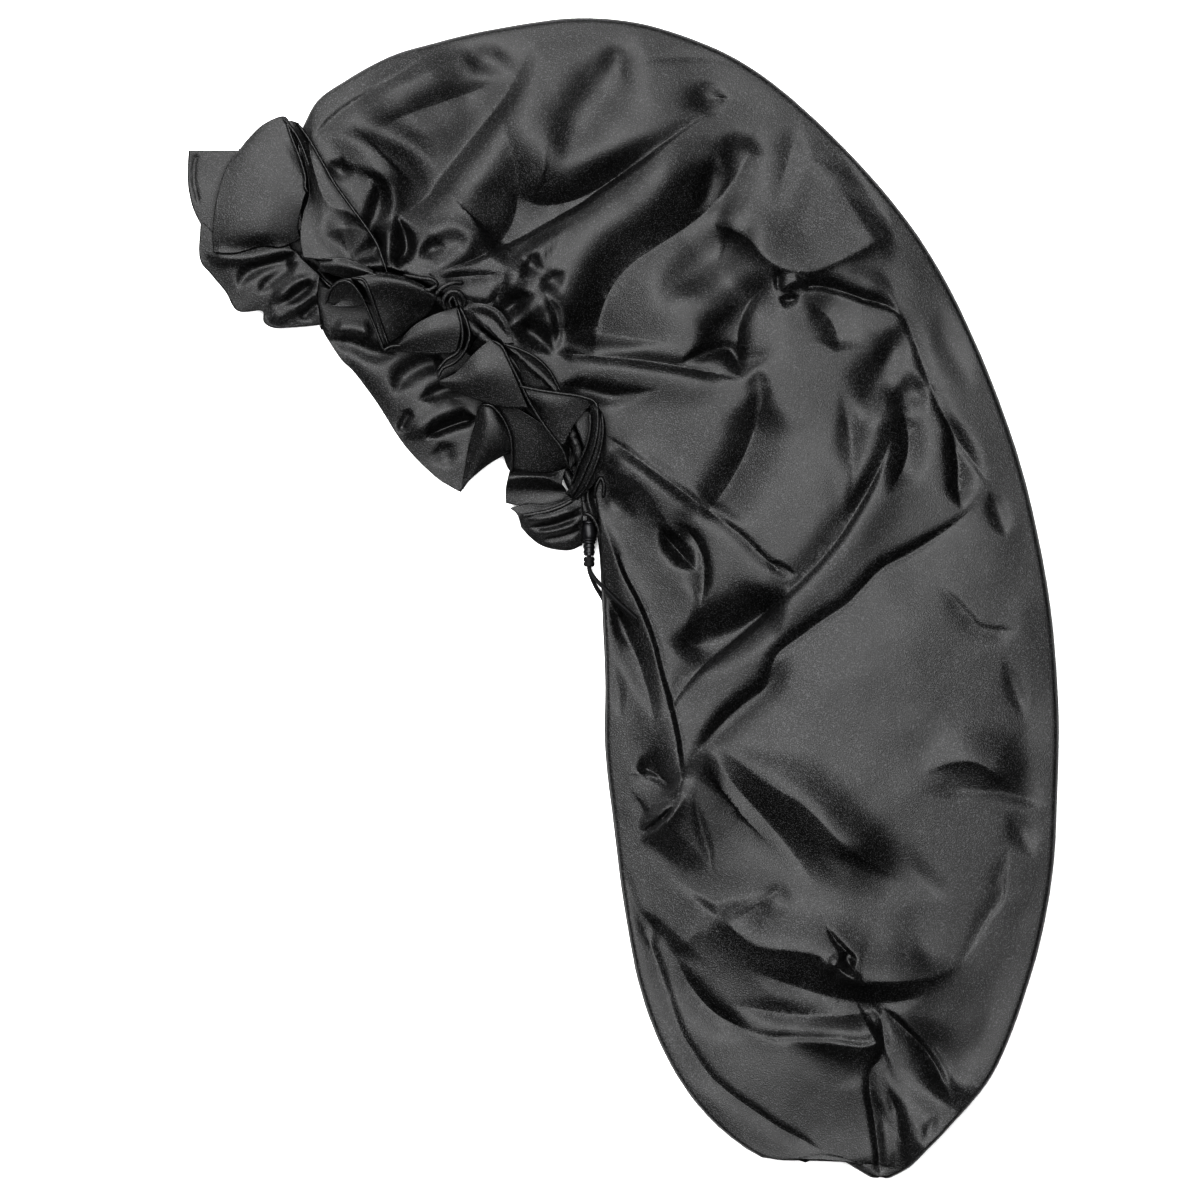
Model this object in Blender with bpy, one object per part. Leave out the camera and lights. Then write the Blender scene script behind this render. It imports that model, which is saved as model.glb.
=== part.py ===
"""Extra-long hair bonnet of satin, lying on its side on a flat surface.

Two crescent side panels are sewn together along the outer edge (crown to
tail tip) and along the inner edge (nape to tail tip).  The head opening on
the concave side keeps open between an upper and a lower layer: an elastic
casing runs round it, and a wide hemmed frill stands out beyond the casing.
An elastic cord leaves the casing at the nape, passes a bell-shaped lock and
a knot, and ends in two bare strands.

Plan positions are in plan units of 0.55 mm, x to the right and y down, seen
from straight above.  Heights are millimetres above the surface.
"""
import math

import bmesh
import bpy
import numpy as np

# ---------------------------------------------------------------- sizes
UNIT = 0.00055            # metres in one plan unit
ORIGIN = (624.35, 598.0)  # plan point under the origin
MM = 0.001

WALL = 1.6                # two layers of satin sewn as one, mm
GAP = 0.35                # between pieces that touch, mm
SEAM_Z = 4.2              # underside of the lower panel at its raised edge, mm
SEAM_TOP = 8.0            # upper side of the outer seam, mm
LIP = 4.5                 # how fast the cloth puffs up from a seam, mm
SEAM_RISE = 20.0          # plan units over which that edge rises
FRILL_WALL = 1.2          # hemmed frill, two layers, mm
CASING_HALF = 3.3         # half width of the gathered casing, mm
CASING_FLAT = 0.8         # its height over its width
GATHERS = 42              # scallops round the casing
CORD_D = 2.1              # round elastic, mm
CORD_GAP = 2.3            # between the two strands' centres in the lock, mm

# ---------------------------------------------------------------- tables
# Sections across the crescent, forehead to tail tip.
#   inner_x inner_y  outer_x outer_y  crown (mm)  inner_z (mm, open edge)
SECTIONS = [
    (303, 246, 303, 128, 16, 10),
    (322, 258, 318, 101, 19, 13),
    (352, 268, 345, 82, 22, 17),
    (395, 270, 388, 58, 26, 20),
    (440, 292, 434, 44, 29, 23),
    (480, 325, 500, 29, 31, 24),
    (520, 360, 587, 19, 33, 23),
    (560, 400, 669, 32, 34, 20),
    (585, 450, 763, 77, 34, 15),
    (595, 505, 869, 176, 34, 8),
    (600, 548, 945, 282, 34, 8),
    (603, 610, 1010, 434, 33, 8),
    (606, 680, 1045, 578, 32, 8),
    (606, 750, 1057, 700, 31, 8),
    (615, 829, 1056, 801, 30, 8),
    (624, 900, 1050, 885, 28, 8),
    (640, 985, 1030, 975, 26, 8),
    (667, 1056, 994, 1070, 22, 8),
    (705, 1112, 949, 1125, 17, 8),
    (765, 1157, 912, 1164, 12, 8),
    (868, 1176, 890, 1177, 9, 8),
]
MOUTH_SECTIONS = 10       # the first rows, whose inner edge is the opening

# Inner edge of the lower panel along the opening, forehead to nape.
#   x    y
LOWER_MOUTH = [
    (303, 246), (318, 272), (345, 296), (390, 312), (430, 335), (470, 362),
    (510, 396), (545, 432), (572, 470), (595, 505),
]

# Folds of the upper panel: crests are positive, valleys negative.
#   name            start        middle       end         height width lean
FOLDS = [
    ("crown_ridge", (405, 222), (447, 175), (543, 62), 5.0, 16, 0),
    ("crown_crease", (396, 215), (440, 172), (525, 70), -5.0, 10, 0),
    ("crown_pocket", (470, 250), (512, 200), (520, 120), -6.2, 16, 0),
    ("brow_fold", (319, 133), (360, 95), (430, 48), 3.1, 12, 0),
    ("pinch_left", (384, 262), (372, 205), (340, 165), -5.0, 12, 0),
    ("pinch_right", (404, 262), (440, 225), (466, 232), 3.7, 12, 0),
    ("long_crest", (500, 268), (559, 222), (735, 118), 5.0, 18, 0),
    ("long_valley", (520, 190), (600, 158), (700, 108), -5.0, 16, 0),
    ("ear_valley", (574, 344), (618, 262), (700, 190), -8.7, 20, 0),
    ("mouth_crest", (560, 372), (650, 376), (745, 392), 5.6, 18, 0),
    ("mouth_crease", (560, 352), (640, 354), (742, 372), -4.3, 10, 0),
    ("tuft_up", (790, 286), (760, 250), (716, 230), -5.0, 14, 0),
    ("tuft_down", (786, 290), (752, 320), (742, 380), -5.6, 14, 0),
    ("tuft_right", (798, 290), (850, 312), (905, 322), -5.0, 14, 0),
    ("edge_fold", (810, 164), (882, 300), (960, 455), 3.7, 14, 0),
    ("great_ridge", (925, 461), (822, 567), (680, 700), 7.4, 22, 0),
    ("great_valley", (985, 500), (850, 605), (690, 758), -6.8, 22, 0),
    ("great_crease", (880, 440), (801, 574), (672, 690), -5.6, 14, 0),
    ("nape_crest", (605, 458), (698, 505), (798, 585), 5.6, 16, 0),
    ("nape_valley", (664, 625), (715, 640), (784, 600), -6.2, 16, 0),
    ("side_pleat", (600, 520), (650, 640), (680, 770), 5.0, 14, 0),
    ("side_gully", (616, 620), (640, 740), (650, 810), -4.3, 14, 0),
    ("tail_valley", (645, 840), (700, 830), (760, 806), -5.0, 14, 0),
    ("tail_slant", (715, 752), (767, 815), (842, 898), -5.6, 16, 0),
    ("lid_valley", (918, 786), (973, 768), (1039, 802), -5.0, 12, 0),
    ("lid_crest", (925, 802), (973, 796), (1042, 812), 3.1, 12, 0),
    ("tail_band", (730, 940), (800, 972), (930, 985), -5.6, 18, 0),
    ("tail_crest", (680, 962), (715, 1003), (835, 1037), 4.3, 18, 0),
    ("tail_pocket", (780, 1050), (820, 1062), (878, 1050), -3.1, 16, 0),
    ("tip_seam", (877, 1001), (874, 1080), (882, 1165), -3.1, 12, 0),
]

# Frill beyond the casing, upper layer then lower layer, forehead to nape.
#   station on the mouth line (0 to 1), turn of the root round the end of the
#   mouth (degrees), hem_x, hem_y, hem_z (mm)
FRILL_UPPER = [
    (0.000, 128, 291, 124, 14.1),
    (0.000, 116, 262, 127, 11.1),
    (0.000, 104, 238, 150, 10.4),
    (0.000, 90, 192, 153, 6.7),
    (0.000, 74, 200, 215, 6.7),
    (0.000, 58, 202, 256, 7.4),
    (0.000, 36, 238, 308, 8.2),
    (0.000, 16, 266, 318, 9.7),
    (0.045, 0, 300, 324, 11.9),
    (0.115, 0, 328, 312, 16.3),
    (0.185, 0, 350, 322, 19.3),
    (0.255, 0, 384, 344, 20.8),
    (0.320, 0, 412, 350, 21.5),
    (0.385, 0, 436, 378, 21.5),
    (0.450, 0, 458, 392, 20.8),
    (0.515, 0, 478, 412, 19.3),
    (0.580, 0, 500, 424, 18.5),
    (0.650, 0, 530, 430, 17.8),
    (0.720, 0, 548, 448, 16.3),
    (0.790, 0, 560, 466, 14.1),
    (0.860, 0, 566, 482, 11.9),
    (0.920, 0, 570, 494, 10.4),
]
FRILL_LOWER = [
    (0.100, 0, 300, 322, 2.0),
    (0.170, 0, 318, 330, 2.0),
    (0.240, 0, 338, 356, 2.0),
    (0.310, 0, 366, 388, 2.0),
    (0.380, 0, 398, 434, 2.0),
    (0.450, 0, 436, 475, 2.0),
    (0.520, 0, 461, 488, 2.0),
    (0.590, 0, 484, 472, 2.0),
    (0.660, 0, 509, 460, 2.0),
    (0.730, 0, 508, 482, 2.0),
    (0.790, 0, 507, 500, 2.0),
    (0.845, 0, 520, 520, 2.0),
    (0.890, 0, 541, 542, 2.0),
    (0.925, 0, 570, 547, 2.0),
]
UPPER_WAVES = (11, 1.6)   # ruffles along the hem, half height in mm
LOWER_WAVES = (7, 1.2)

# Cord lock, along its axis from the casing outwards.
#   y (plan)  half width (plan)
LOCK_RINGS = [
    (520.5, 5.2), (522.0, 6.8), (524.0, 6.4), (526.0, 6.9), (530.0, 7.6),
    (535.0, 7.6), (538.0, 7.0), (539.5, 7.4), (541.0, 6.2), (542.5, 6.4),
    (544.0, 5.2), (547.0, 5.9), (549.5, 5.0), (552.0, 5.6), (555.5, 5.0),
]
LOCK_X = 589.0
LOCK_Z = 4.5
KNOT_RINGS = [
    (557.0, 3.9), (558.4, 5.0), (560.2, 5.2), (561.8, 4.5), (563.2, 5.2),
    (565.0, 5.0), (566.4, 3.9),
]
KNOT_X = 589.0

# Strand routes, casing to bare end: x, y, height of the centre (mm);
# None lies on the upper panel.
STRAND_A = [
    (589, 516.5, 5.65), (589, 521, 5.65), (589, 532, 5.65),
    (589, 545, 5.65), (589, 556, 5.65), (589, 567, 5.65),
    (590, 571, 6.0), (593, 576, 7.6), (597, 581, 9.8),
    (602, 586, None), (609, 593, None), (618, 602, None),
    (628, 611, None), (637, 619, None),
]
STRAND_B = [
    (589, 516.5, 3.35), (589, 521, 3.35), (589, 532, 3.35),
    (589, 545, 3.35), (589, 556, 3.35), (589, 567, 3.35),
    (589.6, 571, 3.1), (591.5, 577, 2.4), (596, 587, 1.5),
    (602, 597, 1.3), (606.5, 607, 1.3), (609, 618, 1.3), (610, 630, 1.3),
]

CHARCOAL = (0.045, 0.045, 0.047, 1.0)
CORD_BLACK = (0.020, 0.020, 0.021, 1.0)
LOCK_BLACK = (0.030, 0.030, 0.032, 1.0)


# ---------------------------------------------------------------- helpers
def smooth(rows, count):
    """Catmull-Rom through the rows, evenly spaced by the row number."""
    pts = np.asarray(rows, dtype=float)
    n = len(pts)
    t = np.linspace(0.0, n - 1.0, count)
    i = np.clip(t.astype(int), 0, n - 2)
    f = (t - i)[:, None]
    p1, p2 = pts[i], pts[i + 1]
    p0 = np.where((i == 0)[:, None], 2 * p1 - p2, pts[np.maximum(i - 1, 0)])
    p3 = np.where((i == n - 2)[:, None], 2 * p2 - p1,
                  pts[np.minimum(i + 2, n - 1)])
    return 0.5 * (2 * p1 + (p2 - p0) * f
                  + (2 * p0 - 5 * p1 + 4 * p2 - p3) * f ** 2
                  + (3 * p1 - p0 - 3 * p2 + p3) * f ** 3)


def fold_height(x, y):
    """Sum of the folds at plan points, in mm."""
    total = np.zeros_like(x)
    for _name, start, middle, end, height, width, _lean in FOLDS:
        line = smooth([start, middle, end], 17)
        ends = np.sin(np.linspace(0.10, math.pi - 0.10, 17)) ** 0.6
        best = np.full(x.shape, 1e9)
        fade = np.zeros_like(x)
        for k in range(16):
            ax, ay = line[k]
            dx, dy = line[k + 1] - line[k]
            t = np.clip(((x - ax) * dx + (y - ay) * dy)
                        / (dx * dx + dy * dy), 0, 1)
            d = np.hypot(x - ax - t * dx, y - ay - t * dy)
            near = d < best
            best = np.where(near, d, best)
            fade = np.where(near, ends[k] * (1 - t) + ends[k + 1] * t, fade)
        total += height * fade * np.exp(-(best / width) ** 2)
    return total


def world(x, y, z):
    return ((x - ORIGIN[0]) * UNIT, (ORIGIN[1] - y) * UNIT, z * MM)


def rows_v(count):
    """Spacing across the crescent, closer towards both edges."""
    t = np.linspace(0.0, 1.0, count)
    return 0.72 * t + 0.28 * (0.5 - 0.5 * np.cos(math.pi * t))


def panel_edges(count, mouth=None):
    """Inner edge, outer edge, crown height and inner height, by section."""
    table = np.asarray(SECTIONS, dtype=float)
    if mouth is not None:
        table = table.copy()
        table[:MOUTH_SECTIONS, 0:2] = mouth
    return smooth(table, count)


def upper_height(x, y, v, crown, inner_z):
    """Low dome with a rounded lip along the sewn edges."""
    base = inner_z * (1 - v) + SEAM_TOP * v
    arch = np.sin(math.pi * np.clip(v, 0, 1)) ** 0.8
    width = np.hypot(x[:, -1:] - x[:, :1], y[:, -1:] - y[:, :1])
    lip = LIP * ((1 - np.exp(-(1 - v) * width / 5.0))
                 * (1 - np.exp(-v * width / 5.0)))
    lift = np.clip(crown - base - LIP, 0, None) * arch
    return base + lip + lift + fold_height(x, y) * arch ** 1.3


def new_object(name, verts, faces, material, smooth_faces=True):
    mesh = bpy.data.meshes.new(name)
    mesh.from_pydata([tuple(map(float, p)) for p in verts], [], faces)
    bm = bmesh.new()
    bm.from_mesh(mesh)
    bmesh.ops.recalc_face_normals(bm, faces=bm.faces)
    if bm.calc_volume(signed=True) < 0:
        bmesh.ops.reverse_faces(bm, faces=bm.faces)
    bm.to_mesh(mesh)
    bm.free()
    if smooth_faces:
        mesh.shade_smooth()
        mesh.set_sharp_from_angle(angle=math.radians(50))
    mesh.materials.append(material)
    obj = bpy.data.objects.new(name, mesh)
    bpy.context.scene.collection.objects.link(obj)
    return obj


def material(name, colour, roughness):
    mat = bpy.data.materials.new(name)
    mat.use_nodes = True
    bsdf = mat.node_tree.nodes["Principled BSDF"]
    bsdf.inputs["Base Color"].default_value = colour
    bsdf.inputs["Roughness"].default_value = roughness
    bsdf.inputs["Metallic"].default_value = 0.0
    return mat


def shell(name, top, bottom, mat):
    """Closed wall between two grids of the same size."""
    nu, nv, _ = top.shape
    verts = [world(*p) for p in top.reshape(-1, 3)]
    verts += [world(*p) for p in bottom.reshape(-1, 3)]
    off = nu * nv
    faces = []

    def at(i, j):
        return i * nv + j

    for i in range(nu - 1):
        for j in range(nv - 1):
            q = (at(i, j), at(i + 1, j), at(i + 1, j + 1), at(i, j + 1))
            for f in ((q[0], q[1], q[2]), (q[0], q[2], q[3])):
                faces.append(f)
                faces.append(tuple(off + k for k in reversed(f)))
    rim = [at(i, 0) for i in range(nu)]
    rim += [at(nu - 1, j) for j in range(1, nv)]
    rim += [at(i, nv - 1) for i in range(nu - 2, -1, -1)]
    rim += [at(0, j) for j in range(nv - 2, 0, -1)]
    for a, b in zip(rim, rim[1:] + rim[:1]):
        faces.append((b, a, off + a, off + b))
    return new_object(name, verts, faces, mat)


def offset_down(top, wall):
    """Underside of a wall: straight below, deeper where the cloth is steep."""
    p = top * np.array([UNIT / MM, -UNIT / MM, 1.0])
    n = np.cross(np.gradient(p, axis=0), np.gradient(p, axis=1))
    n /= np.linalg.norm(n, axis=2, keepdims=True) + 1e-12
    q = top.copy()
    q[..., 2] -= wall / np.clip(np.abs(n[..., 2]), 0.5, 1.0)
    return q


# ---------------------------------------------------------------- panels
def lower_rise(x, y, inner, outer):
    """Height of the lower panel's underside: flat, raised along its edges."""
    reach = np.minimum(np.hypot(x - inner[:, None, 0], y - inner[:, None, 1]),
                       np.hypot(x - outer[:, None, 0], y - outer[:, None, 1]))
    t = np.clip(1 - reach / SEAM_RISE, 0, 1)
    return SEAM_Z * t * t * (3 - 2 * t)


def make_lower_panel(mat):
    nu, nv = 34, 12
    rows = panel_edges(nu, LOWER_MOUTH)
    v = rows_v(nv)[None, :]
    v = np.sort(np.append(v[0], [0.045, 0.955]))[None, :]
    x = rows[:, None, 0] * (1 - v) + rows[:, None, 2] * v
    y = rows[:, None, 1] * (1 - v) + rows[:, None, 3] * v
    z = lower_rise(x, y, rows[:, 0:2], rows[:, 2:4])
    nu_m = np.linspace(0, len(SECTIONS) - 1, nu)
    first = np.clip(1 - nu_m / 0.8, 0, 1)[:, None]
    z = np.maximum(z, SEAM_Z * first * first * (3 - 2 * first))
    bottom = np.stack([x, y, z], axis=2)
    top = bottom.copy()
    top[..., 2] += WALL
    return shell("lower_panel", top, bottom, mat)


def make_upper_panel(mat):
    nu, nv = 45, 19
    rows = panel_edges(nu)
    v = rows_v(nv)[None, :] * np.ones((nu, 1))
    x = rows[:, None, 0] * (1 - v) + rows[:, None, 2] * v
    y = rows[:, None, 1] * (1 - v) + rows[:, None, 3] * v
    z = upper_height(x, y, v, rows[:, None, 4], rows[:, None, 5])
    section = np.linspace(0, len(SECTIONS) - 1, nu)[:, None]
    close = np.clip(section / 0.9, 0, 1) ** 0.55
    z = 8.0 + (z - 8.0) * close
    top = np.stack([x, y, z], axis=2)
    bottom = offset_down(top, WALL)
    # the rims stand straight under the edges of the upper side
    for sel in ((0, slice(None)), (-1, slice(None)),
                (slice(None), 0), (slice(None), -1)):
        bottom[sel][..., 0:2] = top[sel][..., 0:2]
        bottom[sel][..., 2] = top[sel][..., 2] - WALL
    floor = SEAM_Z + WALL + GAP
    bottom[..., 2] = np.clip(bottom[..., 2], floor, None)
    bottom[..., 2] = np.minimum(bottom[..., 2], top[..., 2] - 1.0)
    return shell("upper_panel", top, bottom, mat), (rows, top)


# ---------------------------------------------------------------- casing
def casing_route():
    """Closed loop round the opening: upper layer out, lower layer back."""
    table = np.asarray(SECTIONS, dtype=float)[:MOUTH_SECTIONS]
    upper = smooth(table, 60)
    lower = smooth(LOWER_MOUTH, 60)
    reach = (CASING_HALF + GAP + 0.25) * MM / UNIT

    def outwards(line):
        step = np.gradient(line, axis=0)
        n = np.stack([-step[:, 1], step[:, 0]], axis=1)
        return n / np.linalg.norm(n, axis=1, keepdims=True)

    up = upper[3:-4, 0:2] + outwards(upper[:, 0:2])[3:-4] * reach
    up_z = upper[3:-4, 5] - 1.2
    low = lower[5:-6] + outwards(lower)[5:-6] * reach
    low_z = np.full(len(low), CASING_HALF * CASING_FLAT + 0.35)
    front = [(300.5, 263.0, 6.2)]
    back = [(581.0, 505.0, 6.4)]
    loop = [(*p, z) for p, z in zip(up, up_z)][::5]
    loop += back
    loop += [(*p, z) for p, z in zip(low, low_z)][::-5]
    loop += front
    return np.asarray(loop)


def make_casing(mat):
    knots = casing_route()
    n = len(knots)
    count = 84
    wrapped = np.vstack([knots[-2:], knots, knots[:3]])
    path = smooth(wrapped, (len(wrapped) - 1) * 12 + 1)[24:24 + n * 12]
    path[:, 0] *= UNIT / MM
    path[:, 1] *= -UNIT / MM
    seg = np.linalg.norm(np.diff(np.vstack([path, path[:1]]), axis=0), axis=1)
    s = np.concatenate([[0], np.cumsum(seg)])
    want = np.linspace(0, s[-1], count, endpoint=False)
    ring = np.stack([np.interp(want, s, np.append(path[:, k], path[0, k]))
                     for k in range(3)], axis=1)
    tangent = np.roll(ring, -1, axis=0) - np.roll(ring, 1, axis=0)
    tangent /= np.linalg.norm(tangent, axis=1, keepdims=True)
    sides = 8
    verts, faces = [], []
    for i in range(count):
        flat = np.array([-tangent[i, 1], tangent[i, 0], 0.0])
        flat /= np.linalg.norm(flat) + 1e-9
        rise = np.cross(tangent[i], flat)
        pulse = 1.0 - 0.10 * (0.5 - 0.5 * math.cos(
            2 * math.pi * GATHERS * want[i] / s[-1]))
        for k in range(sides):
            a = 2 * math.pi * k / sides
            p = (ring[i] + flat * (CASING_HALF * pulse * math.cos(a))
                 + rise * (CASING_HALF * CASING_FLAT * pulse * math.sin(a)))
            verts.append((p[0] * MM - ORIGIN[0] * UNIT,
                          p[1] * MM + ORIGIN[1] * UNIT, p[2] * MM))
    for i in range(count):
        for k in range(sides):
            a, b = i * sides + k, i * sides + (k + 1) % sides
            c = ((i + 1) % count) * sides + (k + 1) % sides
            d = ((i + 1) % count) * sides + k
            faces.append((a, d, c, b))
    return new_object("elastic_casing", verts, faces, mat)


# ---------------------------------------------------------------- frills
def frill_roots(table, mouth, mouth_z):
    """Root of each row just outside the casing, and its height."""
    line = smooth(mouth, 181)
    step = np.gradient(line, axis=0)
    n = np.stack([-step[:, 1], step[:, 0]], axis=1)
    n /= np.linalg.norm(n, axis=1, keepdims=True)
    reach = (2 * CASING_HALF + GAP + 2.0) * MM / UNIT
    rows = []
    for station, turn, hem_x, hem_y, hem_z in table:
        k = station * 180
        px, py = (np.interp(k, range(181), line[:, c]) for c in range(2))
        nx, ny = (np.interp(k, range(181), n[:, c]) for c in range(2))
        a = math.radians(turn)
        dx = nx * math.cos(a) - ny * math.sin(a)
        dy = nx * math.sin(a) + ny * math.cos(a)
        length = math.hypot(dx, dy)
        z = float(np.interp(station, np.linspace(0, 1, len(mouth_z)),
                            mouth_z))
        rows.append((px + reach * dx / length, py + reach * dy / length,
                     hem_x, hem_y, z, hem_z))
    return rows


def make_frill(name, table, waves, across, mat, floor_z, mouth, mouth_z):
    count = (len(table) - 1) * 3 + 1
    rows = smooth(frill_roots(table, mouth, mouth_z), count)
    t = np.linspace(0, 1, across)[None, :]
    x = rows[:, None, 0] * (1 - t) + rows[:, None, 2] * t
    y = rows[:, None, 1] * (1 - t) + rows[:, None, 3] * t
    z = rows[:, None, 4] * (1 - t) + rows[:, None, 5] * t
    number, half = waves
    along = np.linspace(0, 1, count)[:, None]
    z = z + half * t ** 1.2 * (1 - np.cos(2 * math.pi * number * along))
    top = np.stack([x, y, z + FRILL_WALL / 2], axis=2)
    bottom = top.copy()
    bottom[..., 2] -= FRILL_WALL
    low = np.clip(floor_z - bottom[..., 2], 0, None)
    top[..., 2] += low
    bottom[..., 2] += low
    return shell(name, top, bottom, mat)


# ---------------------------------------------------------------- cord
def make_turned(name, rings, centre_x, centre_z, mat, sides=16):
    """Bead-like piece along plan y with an oval bore for the two strands."""
    outer = [(y * 1.0, w) for y, w in rings]
    bore = ((CORD_D / 2 + 0.30) * MM / UNIT,
            ((CORD_GAP + CORD_D) / 2 + 0.30))
    verts, faces = [], []
    angles = [2 * math.pi * k / sides for k in range(sides)]
    for y, w in outer:
        tall = max(w * UNIT / MM, bore[1] + 0.55)
        for a in angles:
            verts.append(world(centre_x + w * math.cos(a), y,
                               centre_z + tall * math.sin(a)))
    for y in (outer[-1][0], outer[0][0]):
        for a in angles:
            verts.append(world(centre_x + bore[0] * math.cos(a), y,
                               centre_z + bore[1] * math.sin(a)))
    total = len(outer) + 2
    for i in range(total):
        for k in range(sides):
            a, b = i * sides + k, i * sides + (k + 1) % sides
            c = ((i + 1) % total) * sides + (k + 1) % sides
            d = ((i + 1) % total) * sides + k
            faces.append((a, d, c, b))
    return new_object(name, verts, faces, mat)


def surface_at(x, y, grid):
    """Height of the upper panel above a plan point."""
    flat = grid.reshape(-1, 3)
    d = np.hypot(flat[:, 0] - x, flat[:, 1] - y)
    near = np.argsort(d)[:4]
    w = 1.0 / (d[near] + 0.5)
    return max(float((flat[near, 2] * w).sum() / w.sum()),
               float(flat[near[:2], 2].max()))


def make_strand(name, route, grid, mat):
    pts = []
    for x, y, z in route:
        if z is None:
            z = surface_at(x, y, grid) + CORD_D / 2 + 0.6
        pts.append((x, y, z))
    fine = smooth(pts, 300)
    fine = np.array([world(*p) for p in fine])
    step = np.linalg.norm(np.diff(fine, axis=0), axis=1)
    s = np.concatenate([[0], np.cumsum(step)])
    want = np.linspace(0, s[-1], max(12, int(s[-1] / (2.0 * CORD_D * MM))))
    curve = bpy.data.curves.new(name, "CURVE")
    curve.dimensions = "3D"
    curve.bevel_depth = CORD_D / 2 * MM
    curve.bevel_resolution = 2
    curve.use_fill_caps = True
    spline = curve.splines.new("POLY")
    spline.points.add(len(want) - 1)
    for k, w in enumerate(want):
        spline.points[k].co = (*(float(np.interp(w, s, fine[:, c]))
                                 for c in range(3)), 1.0)
    curve.materials.append(mat)
    obj = bpy.data.objects.new(name, curve)
    bpy.context.scene.collection.objects.link(obj)
    return obj


# ---------------------------------------------------------------- assembly
def main():
    for obj in list(bpy.data.objects):
        bpy.data.objects.remove(obj, do_unlink=True)
    satin_up = material("upper_panel_satin", CHARCOAL, 0.40)
    satin_low = material("lower_panel_satin", CHARCOAL, 0.40)
    satin_casing = material("casing_satin", CHARCOAL, 0.45)
    satin_frill = material("upper_frill_satin", CHARCOAL, 0.40)
    satin_frill_low = material("lower_frill_satin", CHARCOAL, 0.40)
    elastic_a = material("strand_a_elastic", CORD_BLACK, 0.75)
    elastic_b = material("strand_b_elastic", CORD_BLACK, 0.75)
    knot = material("knot_elastic", CORD_BLACK, 0.75)
    lock = material("lock_rubber", LOCK_BLACK, 0.45)

    _panel, (_rows, grid) = make_upper_panel(satin_up)
    make_lower_panel(satin_low)
    make_casing(satin_casing)
    mouth = [row[0:2] for row in SECTIONS[:MOUTH_SECTIONS]]
    mouth_z = [row[5] - 1.0 for row in SECTIONS[:MOUTH_SECTIONS]]
    make_frill("upper_frill", FRILL_UPPER, UPPER_WAVES, 6, satin_frill, 6.5,
               mouth, mouth_z)
    make_frill("lower_frill", FRILL_LOWER, LOWER_WAVES, 6, satin_frill_low,
               0.4, LOWER_MOUTH, [3.0])
    make_turned("cord_lock", LOCK_RINGS, LOCK_X, LOCK_Z, lock)
    make_turned("cord_knot", KNOT_RINGS, KNOT_X, LOCK_Z, knot)
    make_strand("cord_strand_a", STRAND_A, grid, elastic_a)
    make_strand("cord_strand_b", STRAND_B, grid, elastic_b)


main()
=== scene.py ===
"""Looks of the extra-long satin hair bonnet, lying on its side.

Plan positions are in plan units of 0.55 mm, x to the right and y down, seen
from straight above; heights are millimetres above the floor.
"""
import math

import bmesh
import bpy
import numpy as np
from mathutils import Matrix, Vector


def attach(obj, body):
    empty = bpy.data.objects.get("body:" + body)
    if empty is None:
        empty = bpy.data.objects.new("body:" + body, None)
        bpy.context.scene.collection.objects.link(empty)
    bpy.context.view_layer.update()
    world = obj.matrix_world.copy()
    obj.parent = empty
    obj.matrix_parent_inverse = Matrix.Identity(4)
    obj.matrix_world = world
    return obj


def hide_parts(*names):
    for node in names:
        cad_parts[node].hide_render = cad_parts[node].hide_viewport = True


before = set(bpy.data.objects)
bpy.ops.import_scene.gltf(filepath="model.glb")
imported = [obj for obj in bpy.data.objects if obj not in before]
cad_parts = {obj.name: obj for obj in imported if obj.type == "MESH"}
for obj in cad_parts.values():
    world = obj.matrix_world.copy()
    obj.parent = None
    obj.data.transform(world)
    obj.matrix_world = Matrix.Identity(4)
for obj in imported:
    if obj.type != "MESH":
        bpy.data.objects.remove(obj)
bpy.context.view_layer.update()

UNIT = 0.00055
ORIGIN = (624.35, 598.0)
MM = 0.001
rng = np.random.default_rng(7)


# ---------------------------------------------------------------- helpers
def smooth(rows, count, by_length=True):
    """Catmull-Rom through the rows."""
    pts = np.asarray(rows, dtype=float)
    n = len(pts)
    if n == 1:
        return np.repeat(pts, count, axis=0)
    if n == 2:
        t = np.linspace(0, 1, count)[:, None]
        return pts[0] * (1 - t) + pts[1] * t
    if by_length:
        step = np.linalg.norm(np.diff(pts[:, :2], axis=0), axis=1) + 1e-6
        s = np.concatenate([[0], np.cumsum(np.sqrt(step) * np.sqrt(step))])
        t = np.interp(np.linspace(0, s[-1], count), s, np.arange(n))
    else:
        t = np.linspace(0.0, n - 1.0, count)
    i = np.clip(t.astype(int), 0, n - 2)
    f = (t - i)[:, None]
    p1, p2 = pts[i], pts[i + 1]
    p0 = np.where((i == 0)[:, None], 2 * p1 - p2, pts[np.maximum(i - 1, 0)])
    p3 = np.where((i == n - 2)[:, None], 2 * p2 - p1,
                  pts[np.minimum(i + 2, n - 1)])
    return 0.5 * (2 * p1 + (p2 - p0) * f
                  + (2 * p0 - 5 * p1 + 4 * p2 - p3) * f ** 2
                  + (3 * p1 - p0 - 3 * p2 + p3) * f ** 3)


def ramp(t):
    t = np.clip(t, 0.0, 1.0)
    return t * t * (3 - 2 * t)


def to_world(x, y, z):
    return np.stack([(x - ORIGIN[0]) * UNIT, (ORIGIN[1] - y) * UNIT, z * MM],
                    axis=-1)


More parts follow.
